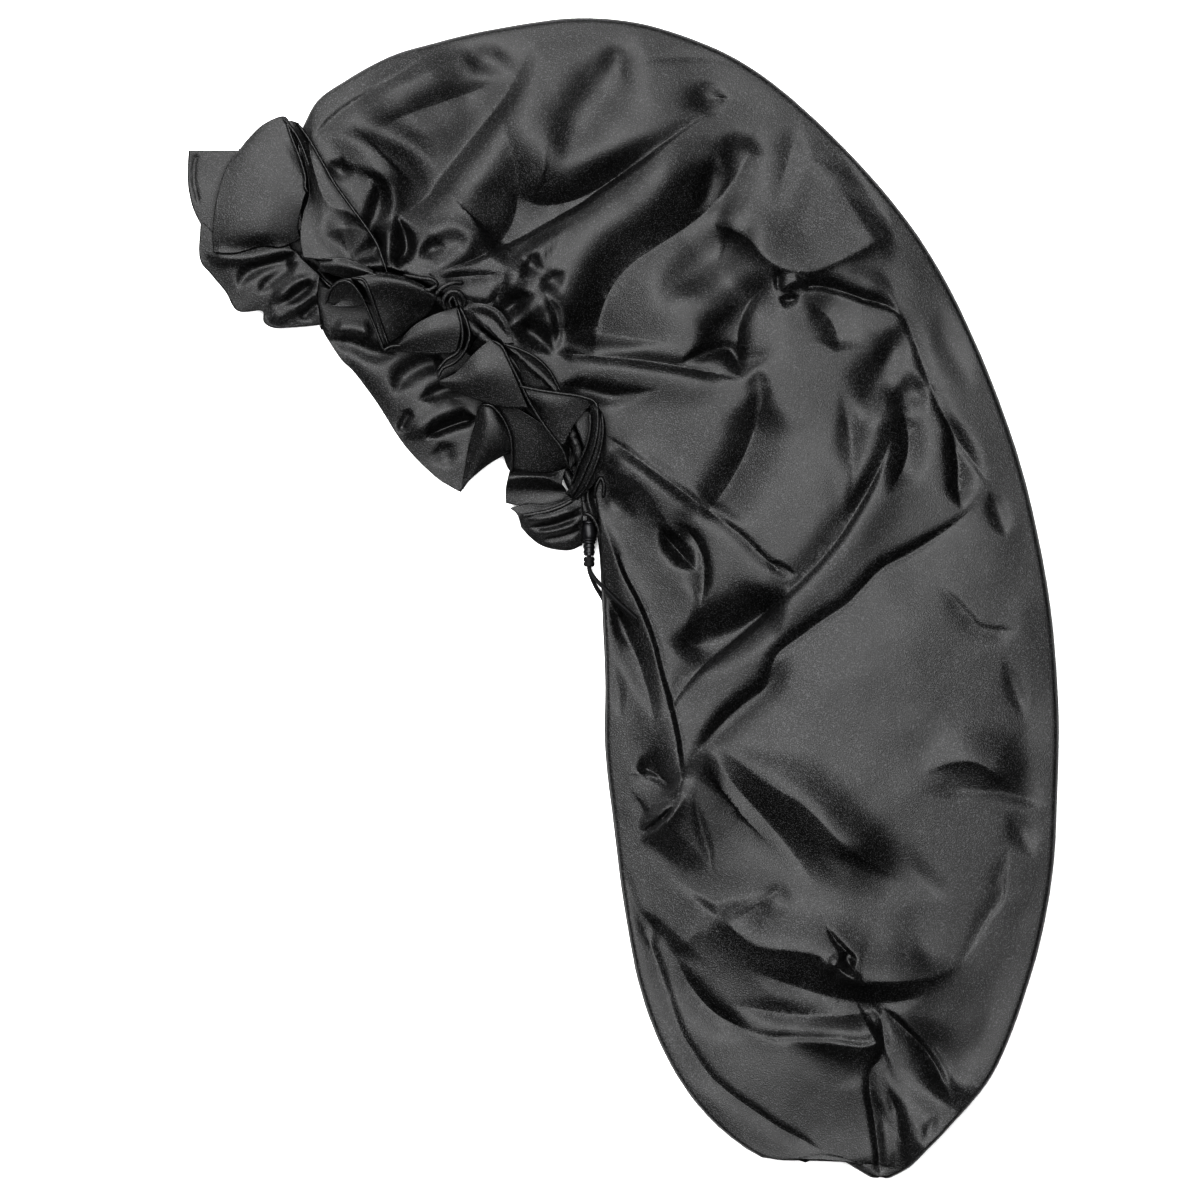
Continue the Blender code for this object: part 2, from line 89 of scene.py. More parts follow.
def value_noise(x, y, scale, seed):
    """Smooth noise in -1..1 at plan points."""
    gen = np.random.default_rng(seed)
    grid = gen.uniform(-1, 1, (64, 64))
    u, v = x / scale, y / scale
    i, j = np.floor(u).astype(int), np.floor(v).astype(int)
    fu, fv = ramp(u - i), ramp(v - j)
    g = lambda a, b: grid[a % 64, b % 64]
    return ((g(i, j) * (1 - fu) + g(i + 1, j) * fu) * (1 - fv)
            + (g(i, j + 1) * (1 - fu) + g(i + 1, j + 1) * fu) * fv)


# ---------------------------------------------------------------- folds
# One row for each fold of the upper panel, read along its crest line.
#   name, height mm, (left side, width), (right side, width),
#   (start taper, end taper), groove mm, points
# Sides seen along the direction of travel: r round, e sharp at the line
# and fading, v an even slope down to the line with a soft far edge, s a
# short steep wall. A groove is a thin crevice on the line.
FOLDS = [
    # crown, forehead side
    ("crown_margin", -1.5, ("v", 4), ("v", 10), (0.15, 0.25), 0.0,
     [(312, 140), (340, 112), (375, 90), (400, 75), (418, 62), (434, 44)]),
    ("brow_gather", -7.0, ("v", 24), ("v", 10), (0.4, 0.3), 0.0,
     [(322, 262), (344, 255), (366, 255), (386, 264)]),
    ("brow_rise", 6.0, ("r", 24), ("v", 58), (0.4, 0.4), 0.0,
     [(356, 122), (384, 100), (414, 82), (444, 66), (474, 50)]),
    ("brow_line", -3.4, ("v", 19), ("v", 24), (0.45, 0.5), 0.0,
     [(376, 132), (394, 122), (420, 111), (446, 102), (474, 92), (498, 80)]),
    ("brow_soft", -3.6, ("r", 22), ("r", 20), (0.5, 0.5), 0.0,
     [(496, 36), (486, 58), (474, 80)]),
    ("brow_low", -3.2, ("r", 17), ("r", 15), (0.4, 0.4), 0.0,
     [(340, 130), (374, 134), (404, 144), (428, 160), (440, 180)]),
    ("temple_crest", 3.2, ("r", 15), ("r", 20), (0.35, 0.4), 0.0,
     [(318, 132), (345, 139), (370, 148), (395, 163), (416, 180), (432, 200)]),
    ("temple_swirl", 2.6, ("r", 11), ("r", 9), (0.4, 0.4), 0.0,
     [(340, 168), (368, 168), (391, 182), (394, 206), (384, 228)]),
    ("pinch_valley_a", -6.4, ("r", 11), ("r", 9), (0.45, 0.35), 0.0,
     [(362, 172), (380, 188), (377, 212), (371, 232), (379, 250), (388, 268)]),
    ("pinch_pocket", -3.5, ("r", 10), ("r", 9), (0.5, 0.5), 0.0,
     [(324, 162), (342, 172), (358, 167)]),
    ("pinch_eye", 3.0, ("r", 7), ("r", 7), (0.4, 0.3), 0.0,
     [(396, 216), (389, 236), (388, 254), (392, 270)]),
    ("pinch_valley_b", -8.0, ("r", 6), ("r", 7), (0.45, 0.3), 0.0,
     [(396, 214), (405, 234), (407, 250), (401, 262), (399, 272)]),
    ("crown_crease", -11.5, ("v", 62), ("v", 36), (0.3, 0.4), 0.0,
     [(384, 241), (396, 222), (412, 209), (427, 197), (442, 176), (461, 152),
      (481, 127), (501, 102), (516, 78), (526, 58), (531, 38)]),
    ("crown_ridge", 3.8, ("r", 15), ("r", 24), (0.35, 0.4), 0.0,
     [(402, 250), (420, 228), (440, 208), (458, 186), (476, 163), (496, 138),
      (514, 112), (530, 84), (541, 58)]),
    ("crown_wall", -12.5, ("v", 46), ("v", 44), (0.7, 0.15), 0.0,
     [(500, 112), (507, 136), (514, 162), (518, 188), (516, 212), (509, 230),
      (499, 244), (486, 254)]),
    ("swirl_rim", 3.2, ("r", 11), ("r", 10), (0.3, 0.3), 0.0,
     [(409, 270), (421, 248), (436, 233), (456, 228), (470, 238), (466, 254),
      (445, 266), (416, 276)]),
    ("swirl_eye", -3.4, ("r", 9), ("r", 8), (0.5, 0.5), 0.0,
     [(416, 259), (434, 249), (450, 250)]),
    ("lens_edge", -11.0, ("v", 38), ("v", 66), (0.3, 0.5), 0.0,
     [(508, 192), (538, 205), (566, 203), (594, 192), (620, 175), (645, 154),
      (666, 136)]),
    ("long_crease", -4.4, ("v", 20), ("v", 5), (0.15, 0.35), 0.0,
     [(436, 274), (470, 262), (497, 249), (522, 237), (552, 220), (582, 203),
      (602, 188), (640, 162), (662, 145), (692, 124), (708, 116), (733, 111)]),
    ("long_ridge", 3.0, ("r", 13), ("r", 28), (0.35, 0.35), 0.0,
     [(500, 270), (530, 255), (562, 237), (592, 219), (614, 203), (651, 177),
      (674, 159), (702, 140), (726, 128)]),
    ("top_nick", -1.5, ("r", 9), ("r", 14), (0.4, 0.5), 0.0,
     [(617, 36), (615, 58), (626, 88)]),
    ("top_hollow", -3.4, ("r", 21), ("r", 18), (0.5, 0.5), 0.0,
     [(716, 80), (708, 98), (714, 118)]),
    ("top_fine", -0.9, ("v", 9), ("v", 5), (0.4, 0.4), 0.0,
     [(628, 66), (660, 60), (700, 58), (740, 66), (772, 84)]),
    ("top_soft", -7.6, ("r", 28), ("r", 26), (0.45, 0.35), 0.0,
     [(634, 28), (622, 60), (600, 92), (580, 122), (568, 150), (560, 176)]),
    ("leaf_crease", -2.4, ("v", 9), ("v", 5), (0.35, 0.3), 0.0,
     [(506, 275), (470, 277), (436, 280)]),
    ("leaf_low", -2.4, ("v", 8), ("v", 6), (0.35, 0.35), 0.0,
     [(507, 266), (501, 290), (490, 304), (470, 302), (450, 290)]),
    ("neck_crest", 4.6, ("r", 11), ("r", 13), (0.3, 0.45), 0.0,
     [(499, 316), (510, 290), (522, 268), (540, 248), (572, 224)]),
    ("neck_eye_a", -5.0, ("r", 9), ("r", 8), (0.5, 0.5), 0.0,
     [(540, 250), (530, 266), (522, 282)]),
    ("neck_eye_b", -3.6, ("r", 9), ("r", 8), (0.5, 0.5), 0.0,
     [(568, 272), (552, 282), (538, 292)]),
    ("gap_black", -8.5, ("r", 11), ("r", 10), (0.35, 0.5), 0.0,
     [(492, 320), (512, 306), (538, 294)]),
    ("curl_crest", 3.6, ("r", 13), ("r", 14), (0.3, 0.3), 0.0,
     [(512, 326), (529, 308), (544, 305), (553, 318), (552, 348)]),
    ("curl_line", -3.0, ("r", 5), ("r", 7), (0.35, 0.3), 0.0,
     [(544, 293), (556, 314), (558, 336), (555, 354)]),
    ("curl_black", -6.5, ("r", 10), ("r", 10), (0.4, 0.4), 0.0,
     [(508, 328), (530, 333), (546, 346), (554, 358)]),
    ("ear_valley", -11.5, ("v", 37), ("v", 58), (0.1, 0.3), 0.0,
     [(594, 362), (598, 326), (609, 293), (629, 267), (657, 247), (687, 227),
      (715, 204), (735, 178), (752, 148), (764, 120)]),
    ("ear_soft", -8.2, ("r", 25), ("r", 23), (0.5, 0.5), 0.0,
     [(652, 312), (674, 286), (704, 266), (736, 240), (758, 200)]),
    ("ear_crest", 2.6, ("r", 26), ("r", 24), (0.2, 0.35), 0.0,
     [(556, 356), (566, 306), (574, 268), (594, 236), (634, 202), (676, 172),
      (712, 148)]),
    ("ear_core", -3.0, ("r", 9), ("r", 12), (0.4, 0.4), 0.0,
     [(716, 150), (712, 176), (704, 200), (688, 216)]),
    ("side_hollow", -4.0, ("r", 20), ("r", 18), (0.5, 0.5), 0.0,
     [(742, 126), (736, 150), (730, 178)]),
    ("edge_valley", -3.8, ("v", 18), ("v", 26), (0.45, 0.5), 0.0,
     [(799, 118), (792, 148), (784, 176), (774, 208)]),
    ("upper_margin", -1.5, ("v", 10), ("v", 4), (0.3, 0.25), 0.0,
     [(892, 228), (872, 198), (851, 167), (828, 138)]),
    ("upper_ridge", 1.2, ("r", 8), ("r", 14), (0.4, 0.4), 0.0,
     [(808, 160), (834, 174), (860, 188)]),
    # tuft on the side and the folds that run into it
    ("tuft_smile", 6.6, ("r", 40), ("e", 26), (0.12, 0.12), 0.0,
     [(712, 226), (731, 230), (748, 240), (762, 256), (777, 267), (797, 272),
      (815, 272), (838, 262), (862, 250), (893, 230)]),
    ("tuft_black", -9.5, ("v", 30), ("v", 36), (0.35, 0.2), 0.0,
     [(776, 276), (758, 292), (745, 310), (738, 334), (738, 358), (742, 382)]),
    ("tuft_wall", 2.6, ("r", 14), ("r", 6), (0.35, 0.3), 0.0,
     [(780, 286), (762, 300), (752, 318), (746, 342), (746, 376)]),
    ("tuft_crease", -3.6, ("v", 9), ("v", 5), (0.1, 0.3), 0.0,
     [(798, 289), (818, 287), (838, 291), (862, 299), (888, 307), (906, 322)]),
    ("tuft_bulge", 2.6, ("r", 12), ("r", 20), (0.4, 0.4), 0.0,
     [(820, 274), (846, 276), (872, 284), (896, 296)]),
    ("tuft_knot", 3.2, ("r", 6), ("r", 6), (0.3, 0.3), 0.0,
     [(778, 292), (789, 284), (803, 280)]),
    ("tuft_slot", -3.6, ("r", 4), ("r", 4), (0.4, 0.4), 0.0,
     [(774, 268), (778, 281), (776, 294)]),
    ("tuft_slot_low", -3.2, ("r", 4), ("r", 5), (0.4, 0.4), 0.0,
     [(777, 299), (788, 301), (800, 296)]),
    ("drop_vee", -3.6, ("v", 26), ("v", 17), (0.45, 0.2), 0.0,
     [(800, 296), (818, 308), (831, 322), (837, 338), (836, 354)]),
    ("drop_side", -3.2, ("r", 16), ("r", 16), (0.5, 0.5), 0.0,
     [(908, 322), (896, 346), (876, 372)]),
    # side strip along the outer edge
    ("strip_line", -2.0, ("v", 6), ("v", 12), (0.2, 0.2), 0.0,
     [(990, 488), (974, 464), (957, 440), (944, 418), (933, 394), (923, 368),
      (914, 342), (904, 318), (890, 288)]),
    ("strip_wedge", -6.0, ("v", 18), ("v", 12), (0.5, 0.25), 0.0,
     [(940, 404), (951, 432), (957, 462), (958, 492), (962, 512)]),
    ("strip_soft", -2.2, ("r", 14), ("r", 18), (0.5, 0.5), 0.0,
     [(935, 300), (956, 350), (972, 394)]),
    ("strip_low", -2.4, ("r", 9), ("r", 9), (0.4, 0.4), 0.0,
     [(988, 488), (997, 510), (1006, 540)]),
    # mouth side
    ("mouth_crease", -2.8, ("v", 9), ("v", 8), (0.1, 0.15), 0.0,
     [(556, 354), (600, 357), (642, 361), (684, 368), (722, 375), (742, 381)]),
    ("mouth_ridge", 2.6, ("r", 12), ("r", 26), (0.3, 0.35), 0.0,
     [(580, 368), (640, 374), (700, 384), (732, 394)]),
    ("mouth_cloud", -4.2, ("r", 20), ("r", 18), (0.5, 0.5), 0.0,
     [(742, 304), (720, 334), (694, 358)]),
    ("mouth_leaf", -4.4, ("r", 7), ("r", 8), (0.4, 0.3), 0.0,
     [(676, 366), (700, 356), (728, 350), (740, 372)]),
    ("mouth_black", -5.0, ("r", 9), ("r", 10), (0.25, 0.6), 0.0,
     [(556, 386), (585, 391), (615, 396), (660, 390)]),
    ("cheek_wall", -9.0, ("v", 34), ("v", 27), (0.35, 0.2), 0.0,
     [(768, 384), (760, 408), (754, 430), (744, 456), (730, 482), (716, 502),
      (702, 518)]),
    ("cheek_top", -2.2, ("r", 9), ("r", 10), (0.4, 0.5), 0.0,
     [(754, 366), (759, 392), (752, 418)]),
    ("nape_crease_a", -1.9, ("v", 5), ("v", 9), (0.15, 0.15), 0.0,
     [(602, 433), (640, 461), (680, 490), (702, 506), (740, 535), (766, 560),
      (797, 583)]),
    ("nape_finger", 3.2, ("r", 14), ("r", 18), (0.25, 0.6), 0.0,
     [(600, 446), (632, 468), (664, 492), (696, 520), (724, 548)]),
    ("nape_leaf", -1.8, ("v", 4), ("v", 10), (0.4, 0.3), 0.0,
     [(764, 561), (780, 566), (797, 577)]),
    ("nape_crease_b", 4.5, ("r", 26), ("e", 22), (0.2, 0.35), 0.0,
     [(597, 466), (620, 474), (641, 486), (657, 508), (672, 530), (690, 548)]),
    ("nape_dark", -3.0, ("r", 13), ("r", 12), (0.4, 0.5), 0.0,
     [(604, 488), (618, 506), (638, 522)]),
    ("nape_slit", -8.0, ("v", 12), ("v", 12), (0.45, 0.35), 0.0,
     [(656, 524), (672, 544), (686, 560), (697, 572)]),
    ("nape_ring", -4.4, ("v", 7), ("v", 18), (0.3, 0.3), 0.0,
     [(672, 522), (688, 532), (699, 548), (704, 568), (703, 590), (699, 610)]),
    ("shadow_floor", -14.0, ("v", 36), ("v", 25), (0.35, 0.3), 0.0,
     [(662, 640), (690, 645), (716, 641), (744, 627), (768, 609),
      (790, 592)]),
    ("great_crease", -5.0, ("v", 21), ("v", 6), (0.2, 0.25), 0.0,
     [(662, 726), (672, 706), (683, 688), (702, 666), (724, 648), (748, 628), (768, 611),
      (788, 592), (804, 577), (820, 560), (838, 538), (855, 512), (870, 486),
      (884, 456), (893, 426)]),
    ("great_ridge", 2.0, ("r", 18), ("r", 26), (0.25, 0.3), 0.0,
     [(906, 432), (897, 462), (866, 520), (829, 569), (797, 601), (757, 637),
      (711, 675), (684, 716)]),
    ("great_edge", -3.4, ("v", 11), ("v", 60), (0.15, 0.3), 0.0,
     [(684, 786), (690, 764), (705, 741), (739, 707), (765, 688), (771, 668),
      (779, 652), (803, 634), (822, 620), (846, 604), (860, 590), (882, 568),
      (910, 553), (946, 530), (972, 508), (990, 488)]),
    ("great_edge_line", -1.2, ("v", 8), ("v", 5), (0.2, 0.2), 0.0,
     [(764, 690), (771, 668), (779, 652), (803, 634), (822, 620), (846, 604),
      (860, 590), (882, 568), (910, 553), (946, 530), (972, 508)]),
    ("great_shade", -4.4, ("r", 14), ("r", 13), (0.35, 0.4), 0.0,
     [(700, 758), (718, 732), (746, 706), (770, 684), (796, 652)]),
    ("finger_black", -6.0, ("v", 20), ("v", 18), (0.35, 0.35), 0.0,
     [(894, 398), (905, 420), (908, 446), (902, 470), (886, 498)]),
    ("finger_arch", -4.6, ("r", 16), ("r", 14), (0.4, 0.4), 0.0,
     [(888, 414), (906, 398), (934, 386)]),
    ("side_crest", 4.6, ("r", 16), ("r", 17), (0.35, 0.4), 0.0,
     [(908, 368), (886, 400), (870, 440), (856, 478), (838, 520)]),
    ("side_nick", -3.8, ("v", 30), ("v", 15), (0.5, 0.45), 0.0,
     [(838, 386), (846, 414), (851, 446), (852, 480), (844, 508)]),
    ("side_hollow_b", -5.4, ("r", 24), ("r", 22), (0.5, 0.5), 0.0,
     [(900, 338), (886, 366), (874, 400), (866, 432)]),
    # right side
    ("hook_crease", -1.5, ("v", 5), ("v", 16), (0.35, 0.2), 0.0,
     [(934, 584), (950, 596), (965, 612), (982, 628), (1018, 631)]),
    ("slit_low", -1.7, ("r", 8), ("r", 8), (0.5, 0.4), 0.0,
     [(1002, 652), (1012, 682), (1026, 722)]),
    ("lid_dune", 6.2, ("r", 31), ("e", 26), (0.5, 0.4), 0.0,
     [(916, 776), (948, 763), (974, 762), (996, 774), (1014, 788),
      (1024, 798)]),
    ("lid_crest", -2.0, ("v", 20), ("v", 8), (0.35, 0.15), 0.0,
     [(914, 794), (950, 792), (976, 790), (1000, 792), (1022, 798),
      (1048, 806)]),
    ("lid_soft", -2.2, ("r", 13), ("r", 12), (0.5, 0.5), 0.0,
     [(1004, 808), (1022, 832), (1034, 862)]),
    ("right_margin", -1.4, ("v", 14), ("v", 4), (0.4, 0.3), 0.0,
     [(957, 968), (972, 944), (986, 918), (1000, 898), (1003, 872),
      (1010, 842)]),
    # pleat down the inner edge, from the nape
    ("pleat", 4.2, ("e", 9), ("r", 26), (0.1, 0.1), 0.0,
     [(600, 512), (609, 540), (622, 574), (638, 606), (651, 640), (659, 672),
      (666, 696), (671, 716), (676, 740), (679, 764), (680, 782), (671, 804)]),
    ("pleat_line", -1.2, ("v", 4), ("v", 3), (0.15, 0.15), 0.0,
     [(615, 545), (627, 575), (643, 606), (656, 640), (664, 672), (671, 696),
      (676, 716), (681, 740), (684, 764), (684, 784)]),
    ("pleat_shade", -5.5, ("v", 16), ("v", 16), (0.35, 0.45), 0.0,
     [(604, 590), (616, 612), (628, 636), (640, 666), (650, 700), (656, 730)]),
    ("pleat_black", -4.0, ("r", 6), ("r", 6), (0.5, 0.4), 0.0,
     [(606, 594), (618, 620), (632, 652)]),
    ("seam_soft", -2.0, ("r", 7), ("r", 8), (0.5, 0.5), 0.0,
     [(612, 654), (616, 690), (622, 724)]),
    ("spot_dune", -6.0, ("v", 22), ("v", 8), (0.3, 0.2), 0.0,
     [(634, 768), (646, 769), (658, 775), (674, 790)]),
    ("hook_ridge", 2.6, ("r", 6), ("r", 6), (0.3, 0.3), 0.0,
     [(638, 830), (650, 820), (662, 810), (673, 799)]),
    ("hook_slit", -4.0, ("v", 4), ("v", 4), (0.4, 0.3), 0.0,
     [(641, 834), (652, 826), (664, 816), (675, 803)]),
    ("hook_outer", 3.2, ("r", 6), ("e", 20), (0.25, 0.3), 0.0,
     [(638, 842), (652, 834), (664, 824), (678, 806), (684, 790)]),
    ("patch_dune", 10.5, ("r", 24), ("v", 60), (0.25, 0.35), 0.0,
     [(646, 838), (664, 826), (680, 806), (692, 784), (704, 768), (722, 760)]),
    ("patch_nick", -1.8, ("r", 5), ("r", 6), (0.5, 0.4), 0.0,
     [(693, 786), (698, 816), (708, 850), (713, 876)]),
    # tail
    ("slant_crease", -5.6, ("v", 42), ("v", 30), (0.5, 0.45), 0.0,
     [(706, 744), (734, 784), (764, 818), (792, 852), (820, 892)]),
    ("slant_dune", 9.0, ("r", 30), ("v", 36), (0.3, 0.4), 0.0,
     [(712, 744), (736, 760), (768, 784), (804, 806), (850, 850), (896, 876),
      (934, 894)]),
    ("slant_black", -6.0, ("r", 25), ("r", 22), (0.5, 0.5), 0.0,
     [(816, 848), (858, 864), (904, 876), (956, 896)]),
    ("tail_soft", -1.8, ("r", 14), ("r", 14), (0.5, 0.5), 0.0,
     [(784, 880), (776, 900), (768, 920)]),
    ("band_left", 4.0, ("r", 30), ("e", 30), (0.3, 0.2), 0.0,
     [(674, 956), (690, 938), (704, 922), (719, 904)]),
    ("band_dune", 8.6, ("r", 33), ("e", 32), (0.10, 0.3), 0.0,
     [(716, 900), (724, 914), (732, 927), (750, 942), (770, 948), (792, 950),
      (818, 955), (838, 968), (856, 980), (880, 981), (906, 980), (932, 976),
      (966, 962)]),
    ("band_floor", -4.5, ("v", 20), ("v", 18), (0.35, 0.35), 0.0,
     [(742, 966), (790, 984), (840, 998), (884, 1002), (930, 994)]),
    ("tuft_two_a", 3.6, ("r", 8), ("r", 6), (0.4, 0.4), 0.0,
     [(816, 956), (828, 966), (837, 958), (836, 944)]),
    ("tuft_two_b", 3.2, ("r", 6), ("r", 6), (0.4, 0.4), 0.0,
     [(838, 962), (842, 974), (853, 978), (864, 986)]),
    ("tuft_two_hole", -6.0, ("r", 6), ("r", 6), (0.4, 0.4), 0.0,
     [(840, 950), (848, 962), (854, 970)]),
    ("tuft_two_crease", -3.6, ("v", 4), ("v", 4), (0.5, 0.3), 0.0,
     [(824, 922), (834, 938), (846, 951), (858, 960)]),
    ("hem_valley", -4.6, ("v", 18), ("v", 16), (0.45, 0.2), 0.0,
     [(726, 1002), (780, 1012), (826, 1015), (866, 1011), (884, 1000)]),
    ("hem_crease", -1.8, ("v", 8), ("v", 6), (0.35, 0.1), 0.0,
     [(740, 1026), (770, 1036), (800, 1036), (836, 1037), (862, 1040),
      (884, 1034)]),
    ("low_dune", 8.0, ("r", 30), ("e", 26), (0.6, 0.1), 0.0,
     [(782, 1040), (826, 1042), (862, 1046), (884, 1038)]),
    ("left_dune", -4.0, ("v", 12), ("v", 22), (0.35, 0.3), 0.0,
     [(675, 952), (684, 974), (696, 993), (712, 1010), (731, 1022),
      (756, 1032)]),
    ("left_margin", -1.7, ("v", 14), ("v", 6), (0.1, 0.1), 0.0,
     [(826, 1153), (806, 1141), (780, 1127), (756, 1111), (732, 1094),
      (711, 1076), (694, 1052), (680, 1028), (668, 992), (655, 955),
      (642, 926), (630, 890), (618, 850)]),
    ("left_notch", -2.4, ("r", 7), ("r", 7), (0.5, 0.5), 0.0,
     [(638, 908), (652, 930), (650, 952)]),
    ("tip_seam", -1.9, ("v", 7), ("v", 6), (0.1, 0.05), 0.0,
     [(866, 1002), (878, 1013), (883, 1035), (880, 1056), (871, 1069),
      (869, 1087), (873, 1112), (877, 1142), (880, 1176)]),
    ("tip_seam_roll", 1.4, ("r", 7), ("r", 18), (0.2, 0.15), 0.0,
     [(858, 1070), (860, 1090), (864, 1114), (869, 1142), (874, 1168)]),
    ("tip_fold_a", 1.6, ("r", 10), ("r", 9), (0.3, 0.3), 0.0,
     [(882, 1064), (894, 1090), (908, 1114), (928, 1140)]),
    ("tip_lens", -3.2, ("r", 7), ("r", 7), (0.45, 0.4), 0.0,
     [(884, 1082), (896, 1112), (904, 1150)]),
    ("tip_fold_b", 1.2, ("r", 9), ("r", 8), (0.4, 0.3), 0.0,
     [(882, 1106), (887, 1140), (890, 1168)]),
    ("tip_line", -3.2, ("v", 14), ("v", 5), (0.2, 0.15), 0.0,
     [(955, 1106), (945, 1086), (936, 1066), (921, 1045), (901, 1025),
      (880, 1005)]),
    ("tip_dark", -4.5, ("v", 26), ("v", 26), (0.45, 0.45), 0.0,
     [(905, 1012), (934, 1044), (956, 1082), (966, 1104)]),
    ("tip_roll", 1.6, ("r", 12), ("r", 14), (0.4, 0.4), 0.0,
     [(890, 1076), (922, 1092), (950, 1106), (972, 1098)]),
    ("tip_small", -2.2, ("r", 6), ("r", 6), (0.5, 0.5), 0.0,
     [(934, 1110), (930, 1128), (920, 1146)]),
]

# the same, but kept at full height at the very edge
EDGE_FOLDS = [
    ("tip_rise", 12.0, ("r", 20), ("r", 46), (0.35, 0.3), 0.0,
     [(984, 1086), (966, 1110), (944, 1134), (920, 1156), (900, 1170)]),
]


def side(kind, d, width):
    """Profile of one side of a fold at distance d from its line."""
    if kind == "r":
        return np.exp(-(d / width) ** 2)
    if kind == "e":
        return np.exp(-d / (0.55 * width)) * (1 - ramp(d / (2.6 * width)))
    if kind == "v":
        return np.logaddexp(0, 5.0 * (1 - d / width)) / 5.0067
    return 1 - ramp(d / width)


def apply_folds(table, x, y, scale=1.0):
    """Sum of the folds at plan points, in mm."""
    total = np.zeros_like(x)
    for _name, height, left, right, ends, groove, pts in table:
        reach = 2.6 * max(left[1], right[1]) + 4
        line = smooth(pts, 10 * len(pts))
        box = ((x > line[:, 0].min() - reach) & (x < line[:, 0].max() + reach)
               & (y > line[:, 1].min() - reach)
               & (y < line[:, 1].max() + reach))
        idx = np.nonzero(box)
        if not len(idx[0]):
            continue
        px, py = x[idx], y[idx]
        best = np.full(px.shape, 1e9)
        along = np.zeros_like(px)
        sign = np.ones_like(px)
        run = np.concatenate([[0], np.cumsum(np.linalg.norm(
            np.diff(line, axis=0), axis=1))])
        for k in range(len(line) - 1):
            ax, ay = line[k]
            dx, dy = line[k + 1] - line[k]
            ll = dx * dx + dy * dy + 1e-9
            t = np.clip(((px - ax) * dx + (py - ay) * dy) / ll, 0, 1)
            ex, ey = px - ax - t * dx, py - ay - t * dy
            d = ex * ex + ey * ey
            near = d < best
            best[near] = d[near]
            along[near] = (run[k] + t * (run[k + 1] - run[k]))[near]
            sign[near] = np.sign(ex * dy - ey * dx)[near]
        d = np.sqrt(best)
        s = along / run[-1]
        fade = ramp(s / max(ends[0], 1e-3)) * ramp((1 - s) / max(ends[1],
                                                                1e-3))
        thin = 0.30 + 0.70 * fade
        prof = np.where(sign >= 0, side(left[0], d, left[1] * thin),
                        side(right[0], d, right[1] * thin))
        add = height * prof
        if groove:
            add = add - groove * np.exp(-(d / 1.7) ** 2)
        total[idx] += scale * add * fade
    return total


# ---------------------------------------------------------------- panels
# Sections across the crescent, forehead to tail tip.
#   inner_x inner_y  outer_x outer_y  crown (mm)  inner_z (mm)
SECTIONS = [
    (303, 246, 303, 128, 15, 10),
    (322, 258, 318, 101, 17, 13),
    (352, 268, 345, 82, 19, 17),
    (395, 270, 388, 58, 21, 20),
    (440, 292, 434, 44, 23, 23),
    (480, 325, 500, 29, 24, 24),
    (520, 360, 587, 19, 25, 23),
    (560, 400, 669, 32, 25, 20),
    (585, 450, 763, 77, 25, 15),
    (595, 505, 869, 176, 25, 8),
    (600, 548, 945, 282, 25, 8),
    (603, 610, 1010, 434, 25, 8),
    (606, 680, 1045, 578, 25, 8),
    (606, 750, 1057, 700, 24, 8),
    (615, 829, 1056, 801, 24, 8),
    (624, 900, 1050, 885, 23, 8),
    (640, 985, 1030, 975, 21, 8),
    (667, 1056, 994, 1070, 18, 8),
    (705, 1112, 949, 1125, 14, 8),
    (752, 1151, 926, 1149, 12, 8),
    (787, 1160, 912, 1164, 11, 8),
    (825, 1152, 902, 1171, 10, 8),
    (868, 1175, 890, 1177, 9, 8),
]
SEAM_TOP = 7.2


def panel_grid(nu, nv):
    rows = smooth(SECTIONS, nu, by_length=False)
    # spread the sections evenly along the middle of the crescent
    mid = (rows[:, 0:2] + rows[:, 2:4]) / 2
    run = np.concatenate([[0], np.cumsum(np.linalg.norm(
        np.diff(mid, axis=0), axis=1))])
    t = np.interp(np.linspace(0, run[-1], nu), run, np.linspace(0, 1, nu))
    rows = np.stack([np.interp(t, np.linspace(0, 1, nu), rows[:, c])
                     for c in range(rows.shape[1])], axis=1)
    v = np.linspace(0, 1, nv)[None, :]
    x = rows[:, None, 0] * (1 - v) + rows[:, None, 2] * v
    y = rows[:, None, 1] * (1 - v) + rows[:, None, 3] * v
    v = v * np.ones_like(x)
    crown = rows[:, None, 4] * np.ones_like(x)
    inner = rows[:, None, 5] * np.ones_like(x)
    return x, y, v, crown, inner, t


def upper_surface(x, y, v, crown, inner, t):
    width = np.hypot(x[:, -1:] - x[:, :1], y[:, -1:] - y[:, :1])
    tail = ramp((t[:, None] - 0.36) / 0.05)
    base = inner * (1 - v) + SEAM_TOP * v
    arch = np.sin(math.pi * np.clip(v, 0, 1)) ** 1.1
    lip = 3.2 * ((1 - np.exp(-(1 - v) * width / 1.3))
                 * (1 - np.exp(-v * width / 1.3) * tail))
    z = base + lip + np.clip(crown - base - 3.2, 0, None) * arch
    edge = np.minimum(ramp((1 - v) * width / 34.0), 1)
    edge = edge * (1 - tail * (1 - ramp(v * width / 22.0)))
    z = z + apply_folds(FOLDS, x, y) * (0.25 + 0.75 * edge)
    z = z + apply_folds(EDGE_FOLDS, x, y)
    # slow waves and small wrinkles that long satin always keeps
    z = z + 1.5 * value_noise(x, y, 92, 31) * edge
    z = z + 0.6 * value_noise(0.8 * x + 0.6 * y, 0.8 * y - 0.6 * x, 43,
                              3) * edge
    z = z + 0.26 * value_noise(x, y, 27, 17) * edge
    z = z + 0.10 * value_noise(x, y, 15, 5) * edge
    floor = SEAM_TOP - 0.4
    z = floor + np.logaddexp(0, (z - floor) / 1.2) * 1.2
    start = ramp(t / 0.03)[:, None]
    return 7.0 + (z - 7.0) * (0.35 + 0.65 * start)


